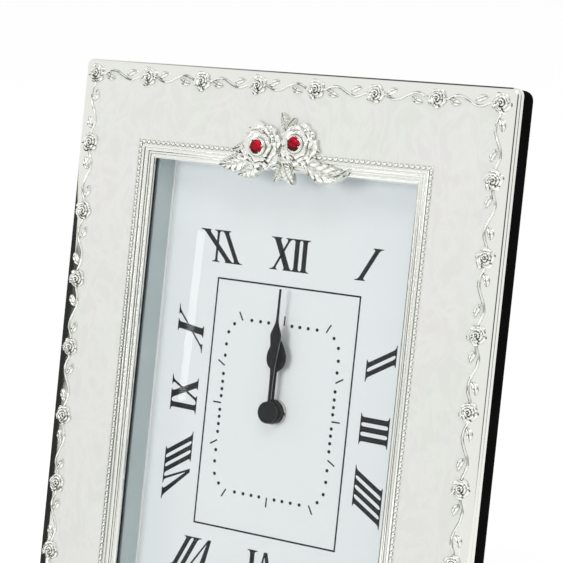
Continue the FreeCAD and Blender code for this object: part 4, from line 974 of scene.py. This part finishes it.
class ClockSizes(bpy.types.PropertyGroup):
    """Sizes of the carving and the print"""
    bead_length: length_property("Bead length", "Length of a bead along its row", 1.80)
    bead_width: length_property("Bead width", "Width of a bead across its row", 1.14)
    bead_top: length_property("Bead height", "Height of the beads over the rim", 0.45)
    stem_width: length_property("Stem width", "Width of the vine's stems", 0.85)
    stem_height: length_property("Stem height", "Height of the vine's stems", 0.7)
    stem_swing: length_property("Stem swing", "How far a stem swings from its line", 1.2)
    leaf_length: length_property("Leaf length", "Length of a leaf on the vine", 3.9)
    leaf_width: length_property("Leaf width", "Width of a leaf on the vine", 2.0)
    leaf_slant: FloatProperty(name="Leaf slant", description="How far the leaves turn from their stem",
                              default=math.radians(24), unit="ROTATION", subtype="ANGLE")
    stone_radius: length_property("Stone radius", "Radius of the red stones", 2.15)
    stone_facets: IntProperty(name="Stone facets", description="Facets round a stone's table", default=8,
                              min=6, max=12)
    line_width: length_property("Line width", "Width of the line round the dial's middle", 0.52)
    dot_width: length_property("Dot width", "Diameter of the minute dots", 1.06)


class ClockColours(bpy.types.PropertyGroup):
    """Colours of the finishes"""
    silver: colour_property("Silver", "Silver plate of the front", (0.81, 0.82, 0.775))
    enamel: colour_property("Enamel", "Pearl enamel band", (0.735, 0.742, 0.705))
    stone: colour_property("Stones", "Red stones of the ornament", (0.46, 0.002, 0.018))
    dial: colour_property("Dial", "Dial card", (0.785, 0.817, 0.826))
    liner: colour_property("Liner", "Walls between glass and dial", (0.57, 0.65, 0.655))
    ink: colour_property("Print", "Print of the dial", (0.014, 0.017, 0.018))
    hands: colour_property("Hands", "Black hands", (0.005, 0.006, 0.007))
    flock: colour_property("Case", "Black flock of the case", (0.0015, 0.0015, 0.0018))
    board: colour_property("Board", "Flocked paper of board and leg", (0.016, 0.016, 0.018))
    brass: colour_property("Brass", "Arbors, nut and small brass parts", (0.78, 0.60, 0.28))
    floor: colour_property("Floor", "Floor under the clock", (0.86, 0.86, 0.86))


# Operators, one for each piece or group of like pieces

class CLOCK_OT_casting(bpy.types.Operator):
    """Silvered front: flat rim, sunk bed, bead bed, reeded moulding and side walls"""
    bl_idname = "clock.casting"
    bl_label = "Front casting"

    def execute(self, context):
        shape = Shape()
        rows = []
        for inset, depth in bowed(CASTING_PROFILE):
            rows.append(shape.add(frame_row(inset, depth, max(CORNER_RADIUS - inset, 0))))
        shape.strip(rows + [rows[0]], closed=True)
        # the casting's silver: lighter painted crevice shade, down to 0.85 of its colour
        finish = silver_finish("silver casting", context.scene.clock_colours.silver, 0.85)
        make_piece("casting", shape, finish, "root", ("front_frame",), MOULDING_CREASE, WELD)
        return {"FINISHED"}


class CLOCK_OT_body(bpy.types.Operator):
    """Flocked body behind the shell, with its round back edges and the opening for the clock"""
    bl_idname = "clock.body"
    bl_label = "Body"

    def execute(self, context):
        shape = Shape()
        rows = [
            frame_row(SHELL_WALL, CASTING_BACK, BODY_FRONT_CORNER),
            frame_row(SHELL_WALL, SHELL_BACK, BODY_FRONT_CORNER),
            frame_row(BODY_INSET, SHELL_BACK, BODY_CORNER),
        ]
        for step in range(BODY_EDGE_STEPS + 1):
            turn = math.pi / 2 * step / BODY_EDGE_STEPS
            less = BODY_EDGE * (1 - math.cos(turn))
            depth = BODY_BACK - BODY_EDGE * (1 - math.sin(turn))
            rows.append(frame_row(BODY_INSET + less, depth, BODY_CORNER - less / 2))
        for depth in (BODY_BACK, CASTING_BACK):
            rows.append(frame_row(BODY_OPENING, depth, 0.0))
        rows = [shape.add(row) for row in rows]
        shape.strip(rows + [rows[0]], closed=True)
        finish = flock_finish("black flock", context.scene.clock_colours.flock, 0.12)
        make_piece("body", shape, finish, "root", ("case_body",), BODY_CREASE, WELD)
        return {"FINISHED"}


class CLOCK_OT_beads(bpy.types.Operator):
    """Row of beads round the opening"""
    bl_idname = "clock.beads"
    bl_label = "Beads"

    def execute(self, context):
        sizes = context.scene.clock_sizes
        shape = Shape()
        half_x = HALF_WIDTH - BEAD_INSET
        half_z = HALF_HEIGHT - BEAD_INSET
        long = sizes.bead_length * MM / 2
        wide = sizes.bead_width * MM / 2
        top = -sizes.bead_top * MM
        for side in (-1, 1):
            for index in range(BEADS_ACROSS):
                x = -half_x + 2 * half_x * (index + 0.5) / BEADS_ACROSS
                dome(shape, (x, side * half_z), long, wide, BEAD_FOOT, top, *BEAD_FORM)
            for index in range(BEADS_UP):
                z = -half_z + 2 * half_z * (index + 0.5) / BEADS_UP
                dome(shape, (side * half_x, z), wide, long, BEAD_FOOT, top, *BEAD_FORM)
        silver_piece("beads", shape)
        return {"FINISHED"}


class CLOCK_OT_enamel(bpy.types.Operator):
    """Pearl enamel band, from the vine's line to the beads"""
    bl_idname = "clock.enamel"
    bl_label = "Enamel band"

    def execute(self, context):
        outline = []
        for points, _ in vine_runs(context.scene.clock_sizes.stem_swing * MM):
            outline.extend(points[:-1])
        shape = Shape()
        hole = rectangle(HALF_WIDTH - ENAMEL_INSET, HALF_HEIGHT - ENAMEL_INSET)
        plate(shape, [outline, hole], ENAMEL_FRONT, BED_DEPTH)
        finish = enamel_finish(context.scene.clock_colours.enamel)
        make_piece("enamel", shape, finish, "root", ("enamel_panel",))
        return {"FINISHED"}


class CLOCK_OT_vine(bpy.types.Operator):
    """Stems and leaves of the vine"""
    bl_idname = "clock.vine"
    bl_label = "Vine"

    def execute(self, context):
        sizes = context.scene.clock_sizes
        stems = Shape()
        leaves = Shape()
        chance = random.Random(VINE_SEED)
        for points, side in vine_runs(sizes.stem_swing * MM, STEM_STEPS):
            kept = points[STEM_HIDDEN:-STEM_HIDDEN]
            places = range(len(kept))
            share, pace = WIDTH_WAVE
            wide = [sizes.stem_width * MM * (1 + share * math.sin(pace * place)) for place in places]
            share, pace = HEIGHT_WAVE
            high = [sizes.stem_height * MM * (1 + share * math.cos(pace * place)) for place in places]
            sweep(stems, kept, wide, high, VINE_BASE)
            start, end = Vector(points[0]), Vector(points[-1])
            run = (end - start).normalized()
            for share, swing in zip(LEAF_FEET, (-side, side)):
                foot = start.lerp(end, share)
                turn = sizes.leaf_slant * swing * chance.uniform(*LEAF_SLANTS)
                way = Vector((run.x * math.cos(turn) - run.y * math.sin(turn),
                              run.x * math.sin(turn) + run.y * math.cos(turn)))
                tip = foot + way * sizes.leaf_length * MM * chance.uniform(*LEAF_LENGTHS)
                leaf(leaves, foot, tip, sizes.leaf_width * MM, LEAF_BEND * swing, VINE_LEAF)
        silver_piece("vine_stem_carving", stems, ("vine_stems",))
        silver_piece("vine_leaf_carving", leaves, ("vine_leaves",), CARVING_CREASE)
        return {"FINISHED"}


class CLOCK_OT_small_roses(bpy.types.Operator):
    """The roses of the vine"""
    bl_idname = "clock.small_roses"
    bl_label = "Small roses"

    def execute(self, context):
        shape = Shape()
        chance = random.Random(SMALL_ROSE_SEED)
        for place in rose_places():
            rose(shape, place, chance.uniform(0, 2 * math.pi), chance, SMALL_ROSE)
            dome(shape, place, SMALL_BUD_RADIUS, SMALL_BUD_RADIUS, 0.0, SMALL_BUD_TOP)
        silver_piece("small_roses", shape, ("border_roses",), CARVING_CREASE)
        return {"FINISHED"}


def ornament_place(x, z):
    """A point given as shares of the ornament's span."""
    return x * ORNAMENT_SPAN, ORNAMENT_Z + z * ORNAMENT_SPAN


def large_rose_places():
    return [(ornament_place(x, z), radius, math.radians(first)) for x, z, radius, first in LARGE_ROSES]


class CLOCK_OT_ornament(bpy.types.Operator):
    """The two large roses with their collets, and the leaves round them"""
    bl_idname = "clock.ornament"
    bl_label = "Ornament"

    def execute(self, context):
        stone = context.scene.clock_sizes.stone_radius * MM
        roses = Shape()
        chance = random.Random(LARGE_ROSE_SEED)
        for place, radius, first in large_rose_places():
            rose(roses, place, first, chance, LARGE_ROSE, radius)
            turned(roses, [(stone + beyond, depth) for beyond, depth in COLLET], place, COLLET_SIDES)
            for prong in range(PRONGS):
                foot = on_circle(place, stone + PRONG_BEYOND, first + 2 * math.pi * prong / PRONGS)
                dome(roses, foot, PRONG_RADIUS, PRONG_RADIUS, PRONG_FOOT, PRONG_TOP)
        silver_piece("large_roses", roses, ("ornament_roses",), CARVING_CREASE)
        leaves = Shape()
        for foot_x, foot_z, tip_x, tip_z, width, bend in ORNAMENT_LEAVES:
            foot = ornament_place(foot_x, foot_z)
            tip = ornament_place(tip_x, tip_z)
            length = math.hypot(tip[0] - foot[0], tip[1] - foot[1])
            leaf(leaves, foot, tip, width * length, bend, ORNAMENT_LEAF)
        silver_piece("ornament_foliage", leaves, ("ornament_leaves",), CARVING_CREASE)
        return {"FINISHED"}


class CLOCK_OT_stones(bpy.types.Operator):
    """The cut red stones"""
    bl_idname = "clock.stones"
    bl_label = "Red stones"

    def execute(self, context):
        sizes = context.scene.clock_sizes
        shape = Shape()
        count = sizes.stone_facets
        radius = sizes.stone_radius * MM
        for place, _, first in large_rose_places():
            rings = []
            for share, depth, times, part in STONE_LEVELS:
                turn = first + 2 * math.pi * part / (count * times)
                row = ring(place, share * radius, share * radius, depth, count * times, turn)
                rings.append(shape.add(row))
            table, stars, girdle, back = rings
            shape.cap(table)
            for index in range(count):
                after = (index + 1) % count
                shape.cap((table[index], table[after], stars[index]))
                shape.cap((table[after], stars[index], girdle[2 * after], stars[after]))
                shape.cap((stars[index], girdle[2 * index], girdle[2 * index + 1]))
                shape.cap((stars[index], girdle[2 * index + 1], girdle[2 * after]))
            shape.strip([girdle, back], closed=True)
            shape.cap(back)
        finish = stone_finish(context.scene.clock_colours.stone)
        make_piece("cut_stones", shape, finish, "root", ("red_stones",), STONE_CREASE)
        return {"FINISHED"}


class CLOCK_OT_dial_print(bpy.types.Operator):
    """Numerals, minute track and line of the dial, and the white edge round it"""
    bl_idname = "clock.dial_print"
    bl_label = "Dial print"

    def execute(self, context):
        sizes = context.scene.clock_sizes
        shape = Shape()
        front = DIAL_FRONT - PRINT_HEIGHT
        back = DIAL_FRONT + PRINT_FOOT
        for word, side, middle in NUMERALS:
            for index, loop in enumerate(numeral_loops(word)):
                placed = [numeral_place(side, middle, u, v) for u, v in loop]
                plate(shape, [placed], front - LAYER_RISE * (index % PRINT_LAYERS), back)
        wide = sizes.line_width * MM / 2
        line = [rectangle(PANEL_HALF[0] + grow, PANEL_HALF[1] + grow) for grow in (wide, -wide)]
        plate(shape, line, front, back)
        dot_radius = sizes.dot_width * MM / 2
        for minute in range(60):
            turn = math.pi / 2 - math.radians(6 * minute)
            reach = track_reach(turn)
            if minute % 5 == 0:
                start, end = [on_circle((0, 0), reach + beyond, turn) for beyond in TICK_ENDS]
                bar(shape, start, end, TICK_WIDTH, front, back)
            else:
                dot = ring(on_circle((0, 0), reach, turn), dot_radius, dot_radius, front, DOT_SIDES)
                plate(shape, [[(x, z) for x, _, z in dot]], front, back)
        ink = plain_finish("dial ink", context.scene.clock_colours.ink, 0.0, 0.6, 0.2, 0.01, gloss=0.15)
        edge = Shape()
        loops = [rectangle(LINER_HALF[0] - less, LINER_HALF[1] - less) for less in (0.0, LINER_EDGE)]
        plate(edge, loops, DIAL_FRONT - LINER_EDGE_HEIGHT, back)
        white = card_finish("liner core", LINER_WHITE, 0.0)
        make_piece("liner_edge", edge, white, "root")
        make_piece("dial_print", shape, ink, "root")
        return {"FINISHED"}


def hand_shape(outline, length, depths, boss):
    """A flat hand that points up, with its long edges broken, and its boss."""
    shape = Shape()
    front, back = depths
    rows = []
    for share, half_share in smooth_line(outline, HAND_STEPS):
        z = share * length
        half = max(half_share * length, HAND_LEAST)
        inner = max(half - HAND_EDGE, half / 2)
        side = [(half, back, z), (half, front + HAND_EDGE, z), (inner, front, z)]
        rows.append(shape.add([(-x, y, z) for x, y, z in side] + side[::-1]))
    shape.tube(rows)
    turned(shape, boss, (0, 0))
    return shape


class CLOCK_OT_hands(bpy.types.Operator):
    """Minute hand and hour hand"""
    bl_idname = "clock.hands"
    bl_label = "Hands"

    def execute(self, context):
        finish = hand_finish(context.scene.clock_colours.hands)
        minute = hand_shape(MINUTE_OUTLINE, MINUTE_LENGTH, MINUTE_DEPTHS, MINUTE_BOSS)
        make_piece("minute_blade", minute, finish, "minute_group", ("minute_hand",), HAND_CREASE)
        hour = hand_shape(HOUR_OUTLINE, HOUR_LENGTH, HOUR_DEPTHS, HOUR_BOSS)
        make_piece("hour_blade", hour, finish, "hour_group", ("hour_hand",), HAND_CREASE)
        return {"FINISHED"}


class CLOCK_OT_finishes(bpy.types.Operator):
    """Finishes of the pieces that keep their shape"""
    bl_idname = "clock.finishes"
    bl_label = "Finishes"

    def execute(self, context):
        colours = context.scene.clock_colours
        finishes = [
            (glass_finish(), ("glass_pane",)),
            (flock_finish("flocked board", colours.board, 0.05), ("back_board", "easel_leg")),
            (card_finish("dial card", colours.dial, 0.25), ("dial_plate",)),
            (liner_finish(colours.liner), ("dial_spacer",)),
            (winding_finish(COPPER), ("coil_winding",)),
        ]
        # Each plain finish: name, colour, metallic, roughness, size and depth of its grain, its pieces
        plain = (
            ("brass", colours.brass, 1.0, 0.28, 0.2, 0.008,
             ("centre_arbor", "clutch_washer", "positive_contact", "negative_contact")),
            ("nickel steel", (0.62, 0.61, 0.58), 1.0, 0.25, 0.25, 0.008,
             ("dial_nut", "case_screws", "quartz_can", "coil_core", "stator", "turn_button_screws",
              "hinge_plate", "hinge_pin", "plate_rivets", "hinge_leaf", "leaf_rivets",
              "turn_button_1", "turn_button_2", "turn_button_3", "turn_button_4")),
            ("black plastic", (0.012, 0.012, 0.013), 0.0, 0.48, 0.25, 0.03,
             ("movement_front_case", "movement_back_case", "set_knob")),
            ("white plastic", (0.72, 0.71, 0.68), 0.0, 0.4, 0.3, 0.01,
             ("mid_plate", "centre_wheel", "hour_wheel", "motion_wheel", "third_wheel",
              "seconds_wheel", "intermediate_wheel", "rotor_pinion", "coil_bobbin")),
            ("rubber", (0.015, 0.015, 0.015), 0.0, 0.8, 0.2, 0.02, ("rubber_gasket",)),
            ("magnet", (0.10, 0.10, 0.105), 0.7, 0.4, 0.1, 0.01, ("rotor_magnet",)),
            ("circuit board", (0.02, 0.13, 0.05), 0.0, 0.35, 0.4, 0.02, ("circuit_board",)),
            ("battery sleeve", (0.03, 0.07, 0.18), 0.3, 0.3, 0.3, 0.01, ("battery",)),
        )
        finishes += [(plain_finish(*values), names) for *values, names in plain]
        for finish, names in finishes:
            for name in names:
                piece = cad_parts[name]
                piece.data.materials.clear()
                piece.data.materials.append(finish)
        return {"FINISHED"}


def area_light(name, place, watts):
    lamp = bpy.data.lights.new(name, "AREA")
    lamp.shape = "DISK"
    lamp.size = LIGHT_SIZE
    lamp.energy = watts
    item = new_object(name, lamp)
    item.location = place
    item.rotation_euler = (Vector(LIGHT_TARGET) - Vector(place)).to_track_quat("-Z", "Y").to_euler()
    return item


def stage_plane(name, corners, material):
    mesh = bpy.data.meshes.new(name)
    mesh.from_pydata(corners, [], [(0, 1, 2, 3)])
    mesh.materials.append(material)
    item = new_object(name, mesh)
    return item


def mirrored_plane(name, light, matrix, corners):
    """A glowing flat thing that only mirrors show."""
    material = bpy.data.materials.new(name)
    tree = bare_tree(material)
    glow = add(tree, "Emission", {"Color": light})
    add(tree, "OutputMaterial", {"Surface": glow.outputs[0]})
    item = stage_plane(name, [matrix @ Vector(corner) for corner in corners], material)
    for rays in ("camera", "diffuse", "transmission", "volume_scatter", "shadow"):
        setattr(item, "visible_" + rays, False)


def seen_rays(tree):
    """One for camera, glossy and transmission rays, which see the white room."""
    rays = add(tree, "LightPath").outputs
    seen = calc(tree, "MAXIMUM", rays["Is Camera Ray"], rays["Is Glossy Ray"])
    return calc(tree, "MAXIMUM", seen, rays["Is Transmission Ray"])


def white_room():
    """A world that looks white, lights the clock less and has dark parts in mirrors."""
    world = bpy.data.worlds.new("white room")
    tree = bare_tree(world)
    dark = 0.0
    for way, inner, outer in DARK_PATCHES:
        near = towards(tree, "Generated", Vector(way).normalized())
        patch = ramp(tree, near, math.cos(math.radians(outer)), math.cos(math.radians(inner)))
        dark = calc(tree, "MAXIMUM", dark, patch)
    mirror = calc(tree, "MULTIPLY", dark, add(tree, "LightPath").outputs["Is Glossy Ray"])
    strength = ramp(tree, seen_rays(tree), 0.0, 1.0, ROOM_LIGHT, ROOM_SEEN)
    back = add(tree, "Background", {"Color": mixed(tree, mirror, WHITE, DARK_ROOM), "Strength": strength})
    add(tree, "OutputWorld", {"Surface": back.outputs[0]})
    return world


def pale_floor(colour):
    """A floor that looks nearly white and keeps the clock's shadow."""
    floor = bpy.data.materials.new("pale floor")
    tree = bare_tree(floor)
    paint = add(tree, "BsdfDiffuse", {"Color": rgba(colour)})
    strength = calc(tree, "MULTIPLY", seen_rays(tree), FLOOR_GLOW)
    glow = add(tree, "Emission", {"Color": WHITE, "Strength": strength})
    both = add(tree, "AddShader", {0: paint.outputs[0], 1: glow.outputs[0]})
    add(tree, "OutputMaterial", {"Surface": both.outputs[0]})
    return floor


def photo_camera():
    """The camera at the photo's viewing angle."""
    camera = bpy.data.cameras.new("camera")
    camera.lens = CAMERA_LENS
    camera.sensor_width = CAMERA_SENSOR
    camera.clip_start = CAMERA_CLIP
    item = new_object("camera", camera)
    item.location = STAND @ Vector(CAMERA_PLACE)
    item.rotation_euler = [math.radians(angle) for angle in CAMERA_TURN]
    return item


class CLOCK_OT_stage(bpy.types.Operator):
    """Floor, soft light, white room and camera"""
    bl_idname = "clock.stage"
    bl_label = "Stage"

    def execute(self, context):
        scene = context.scene
        scene.view_settings.view_transform = "Standard"
        scene.world = white_room()
        floor = pale_floor(scene.clock_colours.floor)
        stage_plane("floor", [(x, y, 0) for x, y in rectangle(FLOOR_HALF, FLOOR_HALF)], floor)
        key = area_light("key light", KEY_PLACE, KEY_WATTS)
        key.visible_glossy = False
        key.visible_transmission = False
        area_light("fill light", FILL_PLACE, FILL_WATTS)
        for card in MIRRORED:
            mirrored_plane(*card)
        scene.camera = photo_camera()
        return {"FINISHED"}


OPERATORS = (
    CLOCK_OT_casting, CLOCK_OT_body, CLOCK_OT_beads, CLOCK_OT_enamel, CLOCK_OT_vine,
    CLOCK_OT_small_roses, CLOCK_OT_ornament, CLOCK_OT_stones, CLOCK_OT_dial_print, CLOCK_OT_hands,
    CLOCK_OT_finishes, CLOCK_OT_stage,
)


class CLOCK_PT_panel(bpy.types.Panel):
    """Lists the pieces, sizes and colours of the clock"""
    bl_idname = "CLOCK_PT_panel"
    bl_label = "Photo frame clock"
    bl_space_type = "VIEW_3D"
    bl_region_type = "UI"
    bl_category = "Clock"

    def draw(self, context):
        for group in (context.scene.clock_sizes, context.scene.clock_colours):
            for name in group.__annotations__:
                self.layout.prop(group, name)
        for operator in OPERATORS:
            self.layout.operator(operator.bl_idname)


CLASSES = (ClockSizes, ClockColours) + OPERATORS + (CLOCK_PT_panel,)


def register():
    for kind in CLASSES:
        bpy.utils.register_class(kind)
    bpy.types.Scene.clock_sizes = PointerProperty(type=ClockSizes)
    bpy.types.Scene.clock_colours = PointerProperty(type=ClockColours)


def unregister():
    del bpy.types.Scene.clock_colours
    del bpy.types.Scene.clock_sizes
    for kind in reversed(CLASSES):
        bpy.utils.unregister_class(kind)


def main():
    register()
    for operator in OPERATORS:
        group, name = operator.bl_idname.split(".")
        getattr(getattr(bpy.ops, group), name)()


if __name__ == "__main__":
    main()
